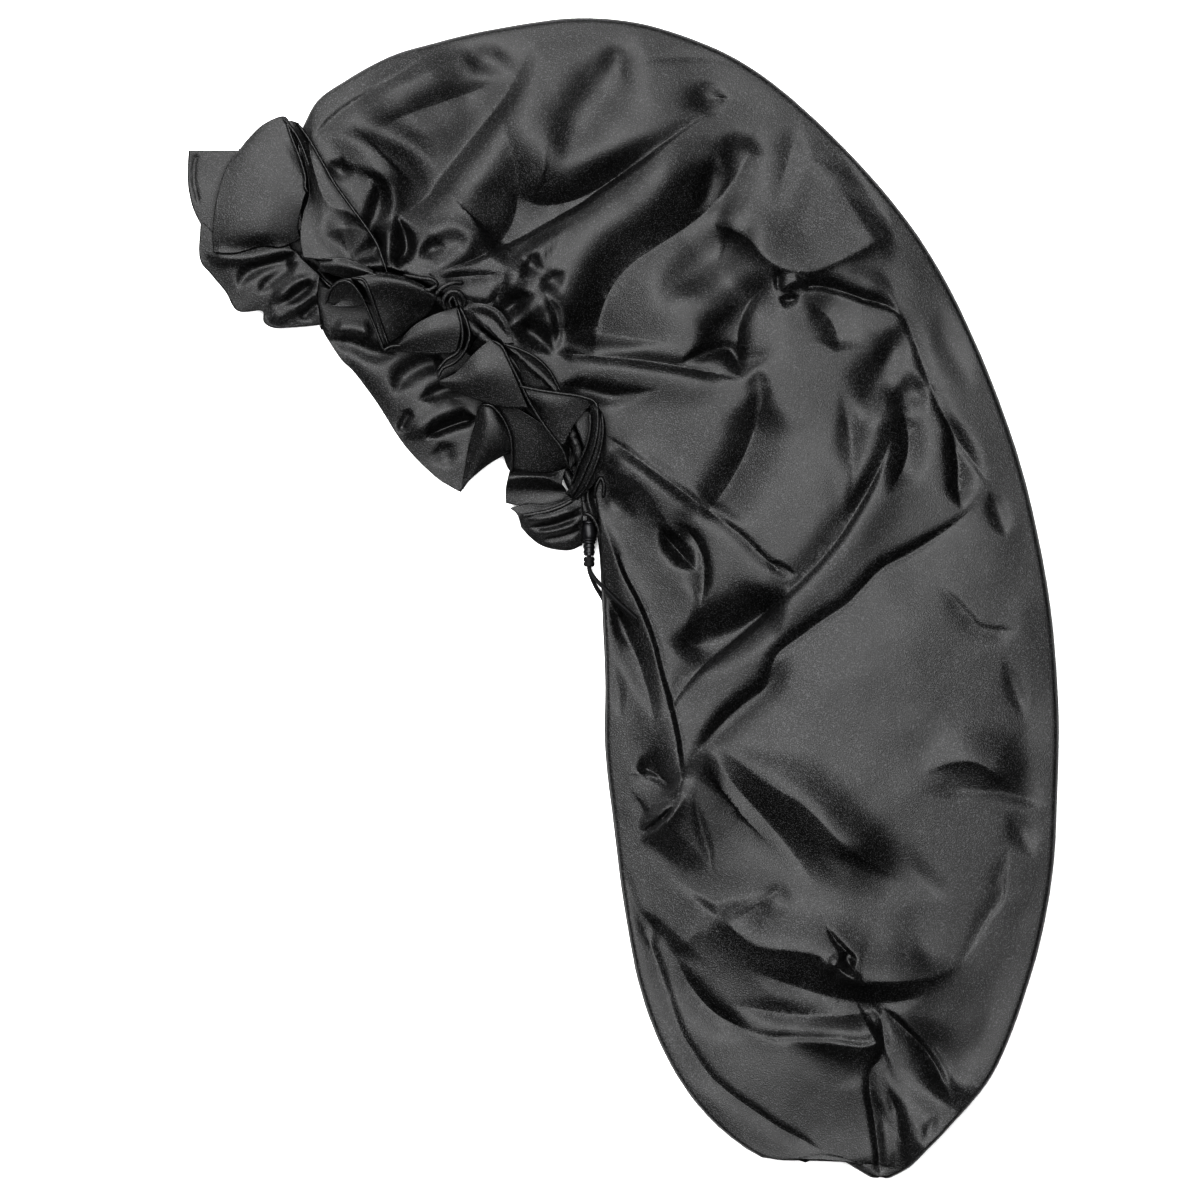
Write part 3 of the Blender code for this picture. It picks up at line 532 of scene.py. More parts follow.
def grid_faces(nu, nv, off=0):
    i, j = np.meshgrid(np.arange(nu - 1), np.arange(nv - 1), indexing="ij")
    a = (i * nv + j).ravel() + off
    return np.stack([a, a + nv, a + nv + 1, a + 1], axis=1)


def mesh_from(name, verts, faces, mat, smooth_faces=True):
    mesh = bpy.data.meshes.new(name)
    verts = np.asarray(verts, dtype=np.float32)
    faces = np.asarray(faces, dtype=np.int32)
    size = faces.shape[1]
    mesh.vertices.add(len(verts))
    mesh.vertices.foreach_set("co", verts.ravel())
    mesh.loops.add(faces.size)
    mesh.loops.foreach_set("vertex_index", faces.ravel())
    mesh.polygons.add(len(faces))
    mesh.polygons.foreach_set("loop_start",
                              np.arange(0, faces.size, size, dtype=np.int32))
    mesh.polygons.foreach_set("loop_total",
                              np.full(len(faces), size, dtype=np.int32))
    mesh.update(calc_edges=True)
    mesh.validate()
    if smooth_faces:
        mesh.shade_smooth()
    mesh.materials.append(mat)
    obj = bpy.data.objects.new(name, mesh)
    bpy.context.scene.collection.objects.link(obj)
    return obj


def grid_normals(p):
    du = np.gradient(p, axis=0)
    dv = np.gradient(p, axis=1)
    n = np.cross(du, dv)
    n /= np.linalg.norm(n, axis=2, keepdims=True) + 1e-12
    n[n[..., 2] < 0] *= -1
    return n


def closed_sheet(name, p, wall, mat, faces=None, up=True):
    """Thin closed solid from a grid of points, wall in metres below it."""
    nu, nv, _ = p.shape
    n = grid_normals(p)
    low = p - n * wall
    verts = np.concatenate([p.reshape(-1, 3), low.reshape(-1, 3)])
    top = grid_faces(nu, nv)
    bottom = grid_faces(nu, nv, nu * nv)[:, ::-1]
    rim = ([i * nv for i in range(nu)]
           + [(nu - 1) * nv + j for j in range(1, nv)]
           + [i * nv + nv - 1 for i in range(nu - 2, -1, -1)]
           + [j for j in range(nv - 2, 0, -1)])
    rim = np.array(rim)
    nxt = np.roll(rim, -1)
    off = nu * nv
    skirt = np.stack([nxt, rim, rim + off, nxt + off], axis=1)
    faces = np.concatenate([top, bottom, skirt])
    a, b, c = (p[0, 0], p[1, 0], p[0, 1])
    if np.cross(b - a, c - a)[2] < 0:
        faces = faces[:, ::-1]
    return mesh_from(name, verts, faces, mat)


# ---------------------------------------------------------------- materials
def satin(name, tone, seed, fine=1.0):
    """Charcoal satin: dark body, broad sheen, a fine twill in the weave."""
    mat = bpy.data.materials.new(name)
    mat.use_nodes = True
    nt = mat.node_tree
    bsdf = nt.nodes["Principled BSDF"]
    link = nt.links.new
    coord = nt.nodes.new("ShaderNodeTexCoord")
    # cloudy change of tone over the cloth
    cloud = nt.nodes.new("ShaderNodeTexNoise")
    cloud.inputs["Scale"].default_value = 14.0
    cloud.inputs["Detail"].default_value = 3.0
    link(coord.outputs["Object"], cloud.inputs["Vector"])
    # threads seen from close by
    grain = nt.nodes.new("ShaderNodeTexNoise")
    grain.inputs["Scale"].default_value = 1500.0 * fine
    grain.inputs["Detail"].default_value = 2.0
    link(coord.outputs["Object"], grain.inputs["Vector"])
    mixed = nt.nodes.new("ShaderNodeMath")
    mixed.operation = "MULTIPLY_ADD"
    link(grain.outputs["Fac"], mixed.inputs[0])
    mixed.inputs[1].default_value = 2.6
    slow = nt.nodes.new("ShaderNodeMath")
    slow.operation = "MULTIPLY_ADD"
    link(cloud.outputs["Fac"], slow.inputs[0])
    slow.inputs[1].default_value = 0.5
    slow.inputs[2].default_value = -1.05
    link(slow.outputs[0], mixed.inputs[2])
    tones = nt.nodes.new("ShaderNodeValToRGB")
    tones.color_ramp.elements[0].position = 0.50
    tones.color_ramp.elements[1].position = 1.0
    dark, light = 0.0, 10.5 * tone
    tones.color_ramp.elements[0].color = (dark, dark, dark * 1.02, 1)
    tones.color_ramp.elements[1].color = (light, light, light * 1.03, 1)
    link(mixed.outputs[0], tones.inputs["Fac"])
    link(tones.outputs["Color"], bsdf.inputs["Base Color"])
    rough = nt.nodes.new("ShaderNodeMapRange")
    rough.inputs["From Min"].default_value = 0.3
    rough.inputs["From Max"].default_value = 0.7
    rough.inputs["To Min"].default_value = 0.45
    rough.inputs["To Max"].default_value = 0.59
    speckle = nt.nodes.new("ShaderNodeMath")
    speckle.operation = "MULTIPLY_ADD"
    link(grain.outputs["Fac"], speckle.inputs[0])
    speckle.inputs[1].default_value = 0.9
    half = nt.nodes.new("ShaderNodeMath")
    half.operation = "MULTIPLY_ADD"
    link(cloud.outputs["Fac"], half.inputs[0])
    half.inputs[1].default_value = 0.5
    half.inputs[2].default_value = -0.2
    link(half.outputs[0], speckle.inputs[2])
    link(speckle.outputs[0], rough.inputs["Value"])
    link(rough.outputs["Result"], bsdf.inputs["Roughness"])
    bsdf.inputs["IOR"].default_value = 1.5
    bsdf.inputs["Specular IOR Level"].default_value = 0.8
    bsdf.inputs["Sheen Weight"].default_value = 0.0
    # weave and a slight pucker
    wave = nt.nodes.new("ShaderNodeTexWave")
    wave.wave_type = "BANDS"
    wave.bands_direction = "DIAGONAL"
    wave.inputs["Scale"].default_value = 900.0 * fine
    wave.inputs["Distortion"].default_value = 1.5
    link(coord.outputs["Object"], wave.inputs["Vector"])
    pucker = nt.nodes.new("ShaderNodeTexNoise")
    pucker.inputs["Scale"].default_value = 90.0
    pucker.inputs["Detail"].default_value = 4.0
    link(coord.outputs["Object"], pucker.inputs["Vector"])
    b1 = nt.nodes.new("ShaderNodeBump")
    b1.inputs["Strength"].default_value = 0.55
    b1.inputs["Distance"].default_value = 0.0004
    link(grain.outputs["Fac"], b1.inputs["Height"])
    b2 = nt.nodes.new("ShaderNodeBump")
    b2.inputs["Strength"].default_value = 0.06
    b2.inputs["Distance"].default_value = 0.0002
    link(wave.outputs["Fac"], b2.inputs["Height"])
    link(b1.outputs["Normal"], b2.inputs["Normal"])
    b3 = nt.nodes.new("ShaderNodeBump")
    b3.inputs["Strength"].default_value = 0.10
    b3.inputs["Distance"].default_value = 0.001
    link(pucker.outputs["Fac"], b3.inputs["Height"])
    link(b2.outputs["Normal"], b3.inputs["Normal"])
    link(b3.outputs["Normal"], bsdf.inputs["Normal"])
    return mat


def plain(name, colour, roughness, bump_scale, bump):
    mat = bpy.data.materials.new(name)
    mat.use_nodes = True
    nt = mat.node_tree
    bsdf = nt.nodes["Principled BSDF"]
    coord = nt.nodes.new("ShaderNodeTexCoord")
    noise = nt.nodes.new("ShaderNodeTexNoise")
    noise.inputs["Scale"].default_value = bump_scale
    noise.inputs["Detail"].default_value = 4.0
    nt.links.new(coord.outputs["Object"], noise.inputs["Vector"])
    tones = nt.nodes.new("ShaderNodeValToRGB")
    tones.color_ramp.elements[0].color = (*[c * 0.6 for c in colour], 1)
    tones.color_ramp.elements[1].color = (*[c * 1.5 for c in colour], 1)
    nt.links.new(noise.outputs["Fac"], tones.inputs["Fac"])
    nt.links.new(tones.outputs["Color"], bsdf.inputs["Base Color"])
    bsdf.inputs["Roughness"].default_value = roughness
    b = nt.nodes.new("ShaderNodeBump")
    b.inputs["Strength"].default_value = bump
    b.inputs["Distance"].default_value = 0.0004
    nt.links.new(noise.outputs["Fac"], b.inputs["Height"])
    nt.links.new(b.outputs["Normal"], bsdf.inputs["Normal"])
    return mat


SATIN_UP = satin("upper_panel_satin", 0.006, 1)
SATIN_LOW = satin("lower_panel_satin", 0.006, 2)
SATIN_FRILL = satin("upper_frill_satin", 0.006, 3)
SATIN_FRILL_LOW = satin("lower_frill_satin", 0.006, 4)
SATIN_CASING = satin("casing_satin", 0.006, 5)
ELASTIC = plain("braided_elastic", (0.014, 0.014, 0.015), 0.7, 2500, 0.5)
MOULDED = plain("lock_moulding", (0.018, 0.018, 0.020), 0.38, 600, 0.08)
FLOOR = plain("pale_floor", (0.55, 0.55, 0.55), 0.85, 3, 0.0)
for element in FLOOR.node_tree.nodes:
    if element.type == "VALTORGB":
        element.color_ramp.elements[0].color = (0.86, 0.86, 0.86, 1)
        element.color_ramp.elements[1].color = (0.89, 0.89, 0.89, 1)

# ---------------------------------------------------------------- camera
cam_data = bpy.data.cameras.new("camera")
cam = bpy.data.objects.new("camera", cam_data)
bpy.context.scene.collection.objects.link(cam)
DISTANCE = 8.0
cam_data.sensor_width = 36.0
cam_data.lens = 36.0 * DISTANCE / (1200 * UNIT)
cam.location = ((600 - ORIGIN[0]) * UNIT, (ORIGIN[1] - 600) * UNIT, DISTANCE)
cam.rotation_euler = (0, 0, 0)
cam_data.clip_end = 100.0
bpy.context.scene.camera = cam

# ---------------------------------------------------------------- cord
CORD_D = 2.1
STRAND_A = [
    (589, 516.5, 5.65), (589, 521, 5.65), (589, 532, 5.65),
    (589, 545, 5.65), (589, 556, 5.65), (589, 567, 5.65),
    (590, 571, 6.0), (593, 576, 7.6), (597, 581, 9.8),
    (602, 586, None), (609, 593, None), (618, 602, None),
    (628, 611, None), (637, 619, None),
]
STRAND_B = [
    (589, 516.5, 3.35), (589, 521, 3.35), (589, 532, 3.35),
    (589, 545, 3.35), (589, 556, 3.35), (589, 567, 3.35),
    (589.6, 571, 3.1), (591.5, 577, 2.4), (596, 587, 1.5),
    (602, 597, 1.3), (606.5, 607, 1.3), (609, 618, 1.3), (610, 630, 1.3),
]

# ---------------------------------------------------------------- upper panel
NU, NV = ((980, 340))
x, y, v, crown, inner, t = panel_grid(NU, NV)
z = upper_surface(x, y, v, crown, inner, t)

# height map of what lies where, used to lay the frill and cord on it
MAP_STEP = 2.0
map_w, map_h = int(1200 / MAP_STEP), int(1200 / MAP_STEP)
height_map = np.zeros((map_h, map_w))


def stamp(px, py, pz):
    i = np.clip((py / MAP_STEP).astype(int), 0, map_h - 1)
    j = np.clip((px / MAP_STEP).astype(int), 0, map_w - 1)
    np.maximum.at(height_map, (i.ravel(), j.ravel()), pz.ravel())


def under(px, py):
    u, w = px / MAP_STEP - 0.5, py / MAP_STEP - 0.5
    i = np.clip(np.floor(w).astype(int), 0, map_h - 2)
    j = np.clip(np.floor(u).astype(int), 0, map_w - 2)
    fu, fw = np.clip(u - j, 0, 1), np.clip(w - i, 0, 1)
    return ((height_map[i, j] * (1 - fu) + height_map[i, j + 1] * fu)
            * (1 - fw)
            + (height_map[i + 1, j] * (1 - fu)
               + height_map[i + 1, j + 1] * fu) * fw)


stamp(x, y, z)
panel_points = to_world(x, y, z)


def decimated(points, target):
    """Fine grid reduced where the cloth is calm, kept fine in the creases."""
    nu, nv, _ = points.shape
    src = mesh_from("fine_panel", points.reshape(-1, 3), grid_faces(nu, nv),
                    SATIN_UP)
    faces = (nu - 1) * (nv - 1) * 2
    mod = src.modifiers.new("reduce", "DECIMATE")
    mod.ratio = target / faces
    dg = bpy.context.evaluated_depsgraph_get()
    ev = src.evaluated_get(dg).to_mesh()
    ev.calc_loop_triangles()
    n = len(ev.vertices)
    co = np.empty(n * 3, dtype=np.float32)
    ev.vertices.foreach_get("co", co)
    tri = np.empty(len(ev.loop_triangles) * 3, dtype=np.int32)
    ev.loop_triangles.foreach_get("vertices", tri)
    out = co.reshape(-1, 3).astype(float), tri.reshape(-1, 3)
    src.evaluated_get(dg).to_mesh_clear()
    bpy.data.objects.remove(src, do_unlink=True)
    return out


def closed_triangles(name, co, tri, wall, mat):
    """Closed thin solid from an open triangle sheet that faces up."""
    a, b, c = co[tri[:, 0]], co[tri[:, 1]], co[tri[:, 2]]
    fn = np.cross(b - a, c - a)
    flip = fn[:, 2].sum() < 0
    if flip:
        tri = tri[:, ::-1]
    edges = np.concatenate([tri[:, [0, 1]], tri[:, [1, 2]], tri[:, [2, 0]]])
    # points of the few triangles that the reduction folded over are evened
    for _ in range(6):
        a, b, c = co[tri[:, 0]], co[tri[:, 1]], co[tri[:, 2]]
        fn = np.cross(b - a, c - a)
        size = np.linalg.norm(fn, axis=1)
        bad = np.unique(tri[fn[:, 2] < 0.10 * size])
        if not len(bad):
            break
        total, count = np.zeros_like(co), np.zeros(len(co))
        for p, q in ((0, 1), (1, 0)):
            np.add.at(total, edges[:, p], co[edges[:, q]])
            np.add.at(count, edges[:, p], 1)
        co = co.copy()
        co[bad] = total[bad] / count[bad][:, None]
    print("folded points left", len(bad))
    n = np.zeros_like(co)
    a, b, c = co[tri[:, 0]], co[tri[:, 1]], co[tri[:, 2]]
    fn = np.cross(b - a, c - a)
    for k in range(3):
        np.add.at(n, tri[:, k], fn)
    n /= np.linalg.norm(n, axis=1, keepdims=True) + 1e-15
    low = co - n * wall
    key = np.sort(edges, axis=1)
    _, first, count = np.unique(key, axis=0, return_index=True,
                                return_counts=True)
    border = edges[first[count == 1]]
    off = len(co)
    skirt = np.concatenate([
        np.stack([border[:, 1], border[:, 0], border[:, 0] + off], axis=1),
        np.stack([border[:, 1], border[:, 0] + off, border[:, 1] + off],
                 axis=1)])
    faces = np.concatenate([tri, tri[:, ::-1] + off, skirt])
    return mesh_from(name, np.concatenate([co, low]), faces, mat)


co, tri = decimated(panel_points, 96000)
upper = closed_triangles("satin_upper_panel", co, tri, 0.0012, SATIN_UP)
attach(upper, "root")
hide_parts("upper_panel")

# ---------------------------------------------------------------- lower panel
nu, nv = 150, 60
lx, ly, lv, _, _, lt = panel_grid(nu, nv)
LOWER_MOUTH = [
    (303, 246), (318, 272), (345, 296), (390, 312), (430, 335), (470, 362),
    (510, 396), (545, 432), (572, 470), (595, 505),
]
mouth_low = smooth(LOWER_MOUTH, 60, by_length=False)
section = np.interp(lt, np.linspace(0, 1, len(SECTIONS)),
                    np.arange(float(len(SECTIONS))))
inner_x = np.interp(section, np.linspace(0, 9, 60), mouth_low[:, 0])
inner_y = np.interp(section, np.linspace(0, 9, 60), mouth_low[:, 1])
use = (section < 9)[:, None]
ox, oy = lx[:, -1:], ly[:, -1:]
ix = np.where(use, inner_x[:, None], lx[:, :1])
iy = np.where(use, inner_y[:, None], ly[:, :1])
lx = ix * (1 - lv) + ox * lv
ly = iy * (1 - lv) + oy * lv
reach = np.minimum(np.hypot(lx - ix, ly - iy), np.hypot(lx - ox, ly - oy))
rise = 4.4 * ramp(1 - reach / 20.0)
rise = np.maximum(rise, 4.4 * ramp(1 - lt[:, None] / 0.03))
rise = rise + 0.5 * ramp(1 - reach / 26) * value_noise(lx, ly, 18, 11)
low_top = np.clip(rise, 0, None) + 1.2
lower = closed_sheet("satin_lower_panel", to_world(lx, ly, low_top), 0.0012,
                     SATIN_LOW)
for vert in lower.data.vertices:
    vert.co.z = max(vert.co.z, 0.0)
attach(lower, "root")
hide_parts("lower_panel")
stamp(lx, ly, low_top)


# ---------------------------------------------------------------- frill
def rails(table, nu, nv):
    """Sheet through rails of the same direction, root first."""
    lines = [smooth([(a, b, 3 + (c - 3) * 0.74) for a, b, c in r], nv)
             for r in table]
    grid = np.stack(lines, axis=0)                      # rail, along, xyz
    out = np.empty((nu, nv, 3))
    n = len(lines)
    for j in range(nv):
        out[:, j] = smooth(grid[:, j], nu, by_length=False) if n > 2 else \
            smooth(grid[:, j], nu)
    return out


#   name, rails (root to hem, each a row of x y z), gathers (count, mm), rest
PETALS = [
    ("lower_sheet", [
        [(312, 284, 8), (350, 296, 9), (390, 314, 10), (430, 334, 10),
         (466, 352, 10), (500, 384, 9), (512, 420, 7)],
        [(316, 310, 5), (338, 334, 6), (368, 360, 8), (402, 390, 9),
         (432, 418, 9), (462, 432, 8), (482, 446, 7)],
        [(322, 326, 3), (326, 336, 3), (341, 359, 3), (355, 373, 3),
         (378, 404, 3), (398, 436, 3), (414, 456, 3), (436, 477, 3),
         (450, 486, 3), (461, 492, 3)],
    ], (0, 0), 0.0, "low"),
    ("lower_inner", [
        [(486, 392, 17), (520, 410, 19), (550, 430, 19), (572, 450, 15)],
        [(496, 430, 11), (520, 440, 12), (545, 450, 12), (570, 465, 10)],
        [(503, 455, 4), (512, 472, 3), (540, 475, 3), (568, 472, 4)],
    ], (0, 0), 0.0, "low"),
    ("nape_roll", [
        [(511, 468, 7), (530, 472, 8), (548, 473, 8), (566, 468, 9)],
        [(508, 478, 13), (526, 477, 15), (546, 478, 14), (562, 484, 11)],
        [(506, 490, 8), (526, 490, 7), (546, 491, 6), (566, 491, 6)],
        [(506, 503, 6), (522, 506, 5), (545, 508, 5), (572, 500, 5)],
    ], (0, 0), 0.0, "low"),
    ("nape_lobe", [
        [(510, 508, 6), (528, 504, 8), (545, 504, 10), (560, 500, 11),
         (578, 492, 12)],
        [(517, 514, 8), (535, 514, 12), (550, 511, 13), (566, 504, 14),
         (582, 500, 13)],
        [(520, 522, 7), (538, 524, 11), (554, 524, 12), (570, 522, 12),
         (583, 518, 10)],
        [(521, 527, 3), (530, 537, 3), (541, 545, 3), (554, 549, 3),
         (570, 550, 3), (582, 545, 3)],
    ], (0, 0), 0.0, "low"),
    ("gather_floor", [
        [(278, 226, 6), (298, 230, 6), (318, 240, 6)],
        [(282, 262, 4), (302, 270, 4), (322, 278, 4)],
    ], (0, 0), 0.0, "low"),
    ("nape_edge", [
        [(572, 488, 10), (586, 482, 13), (598, 482, 14), (607, 492, 12)],
        [(574, 502, 10), (588, 500, 13), (599, 504, 13), (606, 514, 11)],
        [(580, 515, 9), (590, 517, 11), (598, 522, 11), (604, 536, 9)],
    ], (0, 0), 0.0, "low"),
    ("fan", [
        [(290, 244, 13), (294, 250, 14), (299, 254, 14), (304, 260, 15),
         (312, 268, 16), (320, 276, 18)],
        [(226, 238, 9), (232, 258, 11), (258, 278, 12), (274, 288, 12),
         (292, 298, 13), (318, 300, 16)],
        [(201, 221, 6), (200, 258, 6), (212, 275, 6), (226, 292, 6),
         (238, 311, 7), (262, 311, 7), (264, 322, 8), (275, 328, 8),
         (300, 327, 9), (322, 325, 10)],
    ], (0, 0), 0.0, "up"),
    ("petal_rear", [
        [(262, 151, 9), (256, 200, 10), (244, 250, 10)],
        [(189, 151, 7), (188, 172, 6), (189, 190, 6), (194, 210, 6),
         (203, 228, 6)],
    ], (0, 0), 0.0, "up"),
    ("petal_front", [
        [(214, 253, 12), (236, 254, 12), (262, 247, 13), (281, 248, 14),
         (301, 240, 15)],
        [(213, 235, 15), (235, 234, 19), (262, 232, 21), (280, 230, 20),
         (299, 226, 18)],
        [(216, 206, 17), (240, 200, 21), (266, 196, 23), (285, 196, 23),
         (304, 202, 22)],
        [(223, 178, 16), (245, 168, 20), (270, 162, 22), (290, 166, 23),
         (308, 188, 22)],
        [(232, 160, 14), (250, 147, 18), (272, 139, 20), (288, 144, 21),
         (303, 164, 21)],
        [(240, 150, 12), (249, 139, 14), (264, 125, 16), (283, 117, 18),
         (290, 124, 20), (296, 142, 21)],
    ], (0, 0), 0.5, "up"),
    ("petal_brow", [
        [(304, 259, 30), (301, 238, 30), (304, 215, 30), (310, 197, 30),
         (308, 172, 28), (300, 146, 25), (289, 122, 21)],
        [(338, 263, 30), (328, 242, 29), (322, 220, 28), (318, 196, 27),
         (312, 170, 26), (304, 148, 24), (293, 122, 21)],
        [(386, 273, 26), (380, 252, 22), (366, 226, 20), (350, 204, 19),
         (334, 182, 19), (318, 156, 20), (299, 124, 20)],
    ], (0, 0), 1.6, "up"),
    ("lip_fold", [
        [(318, 262, 27), (338, 258, 30), (356, 262, 33), (375, 272, 35)],
        [(320, 266, 28), (338, 266, 32), (356, 270, 35), (376, 276, 36)],
        [(318, 272, 26), (338, 275, 28), (356, 277, 30), (378, 278, 32)],
    ], (0, 0), 0.8, "up"),
    ("petal_small", [
        [(352, 279, 32), (340, 281, 31), (332, 288, 29), (326, 304, 24)],
        [(358, 290, 30), (349, 296, 26), (342, 300, 24), (336, 305, 23)],
        [(368, 306, 26), (356, 308, 24), (344, 308, 23), (328, 307, 22)],
    ], (0, 0), 0.5, "up"),
    ("petal_dark", [
        [(352, 278, 34), (380, 274, 36), (402, 277, 37), (420, 284, 37),
         (438, 297, 35)],
        [(364, 288, 36), (384, 283, 39), (403, 286, 39), (420, 292, 38),
         (437, 300, 35)],
        [(372, 306, 31), (390, 305, 31), (405, 308, 29), (419, 310, 27),
         (431, 312, 26)],
        [(383, 349, 22), (389, 345, 21), (396, 341, 20), (404, 335, 19),
         (414, 326, 19)],
    ], (0, 0), 0.5, "up"),
    ("petal_mid", [
        [(396, 347, 23), (412, 328, 27), (432, 316, 30), (459, 307, 32)],
        [(393, 349, 24), (412, 339, 28), (434, 332, 31), (462, 328, 31)],
        [(387, 352, 21), (410, 353, 23), (430, 355, 24), (457, 354, 25)],
    ], (0, 0), 0.8, "up"),
    ("petal_arch", [
        [(460, 306, 33), (480, 304, 37), (498, 310, 38), (509, 324, 37),
         (514, 345, 33)],
        [(465, 316, 33), (480, 312, 36), (494, 317, 37), (503, 329, 36),
         (510, 345, 32)],
        [(470, 350, 20), (476, 340, 19), (484, 336, 18), (494, 338, 20),
         (503, 346, 24)],
    ], (0, 0), 0.8, "up"),
    ("petal_behind", [
        [(503, 344, 34), (522, 351, 36), (538, 360, 36), (551, 374, 34),
         (562, 395, 30)],
        [(508, 352, 31), (522, 364, 32), (536, 374, 31), (546, 384, 30),
         (561, 397, 28)],
        [(512, 364, 27), (519, 382, 26), (535, 392, 27), (548, 394, 27),
         (561, 398, 27)],
    ], (0, 0), 0.8, "up"),
    ("petal_peak", [
        [(440, 381, 24), (456, 373, 27), (471, 357, 31), (483, 346, 33),
         (492, 341, 34), (502, 347, 34)],
        [(440, 383, 24), (460, 382, 29), (480, 374, 33), (498, 372, 33),
         (514, 374, 32)],
        [(440, 385, 22), (456, 392, 24), (470, 398, 25), (486, 403, 25),
         (504, 408, 24), (529, 409, 25)],
    ], (0, 0), 0.8, "up"),
    ("petal_low", [
        [(478, 408, 17), (484, 404, 21), (491, 406, 21), (500, 414, 19)],
        [(475, 424, 15), (486, 424, 21), (497, 426, 21), (508, 432, 17)],
        [(469, 446, 11), (482, 446, 17), (496, 446, 17), (511, 450, 13)],
        [(461, 491, 3), (470, 480, 7), (488, 465, 9), (508, 453, 10)],
    ], (0, 0), 0.5, "up"),
    ("petal_nape", [
        [(520, 387, 31), (540, 391, 33), (560, 394, 34), (580, 397, 35),
         (599, 405, 35)],
        [(526, 398, 30), (544, 404, 32), (560, 408, 32), (574, 408, 32),
         (590, 407, 33)],
        [(531, 403, 26), (542, 422, 25), (554, 438, 23), (563, 446, 22),
         (570, 430, 26)],
    ], (0, 0), 0.8, "up"),
    ("petal_nape_inside", [
        [(588, 404, 33), (578, 408, 30), (570, 424, 27), (564, 444, 22)],
        [(594, 420, 20), (584, 424, 16), (575, 440, 14), (568, 456, 14)],
        [(596, 430, 16), (588, 446, 12), (579, 458, 11), (570, 470, 12)],
    ], (0, 0), 0.0, "up"),
    ("hem_band", [
        [(596, 404, 35), (604, 418, 34), (606, 440, 31), (603, 462, 26),
         (594, 484, 20), (578, 500, 14)],
        [(594, 408, 37), (599, 420, 37), (598, 440, 34), (592, 462, 28),
         (583, 482, 21), (573, 498, 14)],
        [(590, 410, 33), (590, 424, 31), (587, 442, 28), (580, 462, 22),
         (572, 482, 16), (566, 494, 12)],
    ], (0, 0), 0.8, "up"),
]
FRILL_FOLDS = [
    ("brow_black", 6.5, ("r", 22), ("v", 24), (0.4, 0.3), 0.0,
     [(322, 238), (344, 229), (366, 232), (384, 248)]),
    ("fan_ridge_a", 3.0, ("r", 6), ("r", 9), (0.2, 0.2), 0.0,
     [(298, 250), (260, 258), (222, 258), (204, 254)]),
    ("fan_valley_a", -4.0, ("r", 7), ("r", 8), (0.2, 0.3), 0.0,
     [(298, 256), (264, 266), (246, 276), (238, 292)]),
    ("fan_valley_b", -3.0, ("r", 6), ("r", 7), (0.3, 0.3), 0.0,
     [(300, 262), (272, 280), (258, 296)]),
    ("rear_hem", -0.9, ("v", 3), ("v", 3), (0.1, 0.2), 0.0,
     [(197, 153), (194, 170), (195, 186), (200, 208)]),
    ("fan_ridge_c", 3.0, ("r", 7), ("r", 6), (0.4, 0.35), 0.0,
     [(316, 273), (292, 286), (278, 298), (268, 306)]),
    ("fan_valley_c", -4.0, ("r", 6), ("r", 7), (0.4, 0.5), 0.0,
     [(318, 280), (298, 296), (280, 306)]),
    ("fan_ridge_d", 2.6, ("r", 6), ("r", 8), (0.2, 0.2), 0.0,
     [(320, 292), (296, 308), (268, 322)]),
    ("fan_valley_d", -3.4, ("r", 6), ("r", 7), (0.2, 0.3), 0.0,
     [(322, 300), (308, 312), (300, 322)]),
]
LOWER_FOLDS = [
    ("low_valley_a", -4.5, ("r", 9), ("r", 10), (0.3, 0.3), 0.0,
     [(326, 340), (350, 342), (372, 352), (400, 356)]),
    ("low_ridge_a", 3.0, ("r", 10), ("r", 9), (0.3, 0.3), 0.0,
     [(330, 330), (352, 331), (376, 334)]),
    ("low_valley_b", -5.0, ("r", 9), ("r", 12), (0.2, 0.35), 0.0,
     [(446, 362), (424, 366), (404, 378), (394, 398)]),
    ("low_valley_c", -4.0, ("r", 7), ("r", 8), (0.2, 0.4), 0.0,
     [(470, 380), (440, 392), (416, 402)]),
    ("low_valley_d", -4.5, ("r", 5), ("r", 7), (0.2, 0.3), 0.8,
     [(478, 418), (456, 424), (436, 432), (424, 440)]),
    ("low_ridge_d", 2.6, ("r", 9), ("r", 9), (0.3, 0.3), 0.0,
     [(470, 404), (440, 414), (410, 434), (402, 440)]),
    ("low_nick", -2.4, ("r", 4), ("r", 5), (0.3, 0.3), 0.0,
     [(412, 408), (404, 424), (398, 434)]),
    ("lobe_a", 1.9, ("r", 5), ("r", 4), (0.3, 0.3), 0.0,
     [(520, 521), (544, 519), (566, 513), (584, 505)]),
    ("lobe_gap", -2.6, ("r", 4), ("r", 4), (0.3, 0.3), 0.0,
     [(524, 527), (548, 526), (568, 520), (584, 513)]),
    ("lobe_b", 1.6, ("r", 4), ("r", 4), (0.3, 0.3), 0.0,
     [(530, 534), (552, 532), (570, 527), (584, 519)]),
    ("lobe_gap_b", -2.0, ("r", 3), ("r", 3), (0.3, 0.3), 0.0,
     [(540, 539), (558, 537), (572, 533), (582, 528)]),
    ("edge_gather", -2.4, ("r", 4), ("r", 4), (0.2, 0.3), 0.0,
     [(590, 480), (588, 496), (592, 512), (598, 526)]),
    ("low_soft", -2.0, ("r", 10), ("r", 10), (0.4, 0.4), 0.0,
     [(440, 440), (446, 456), (450, 470)]),
]
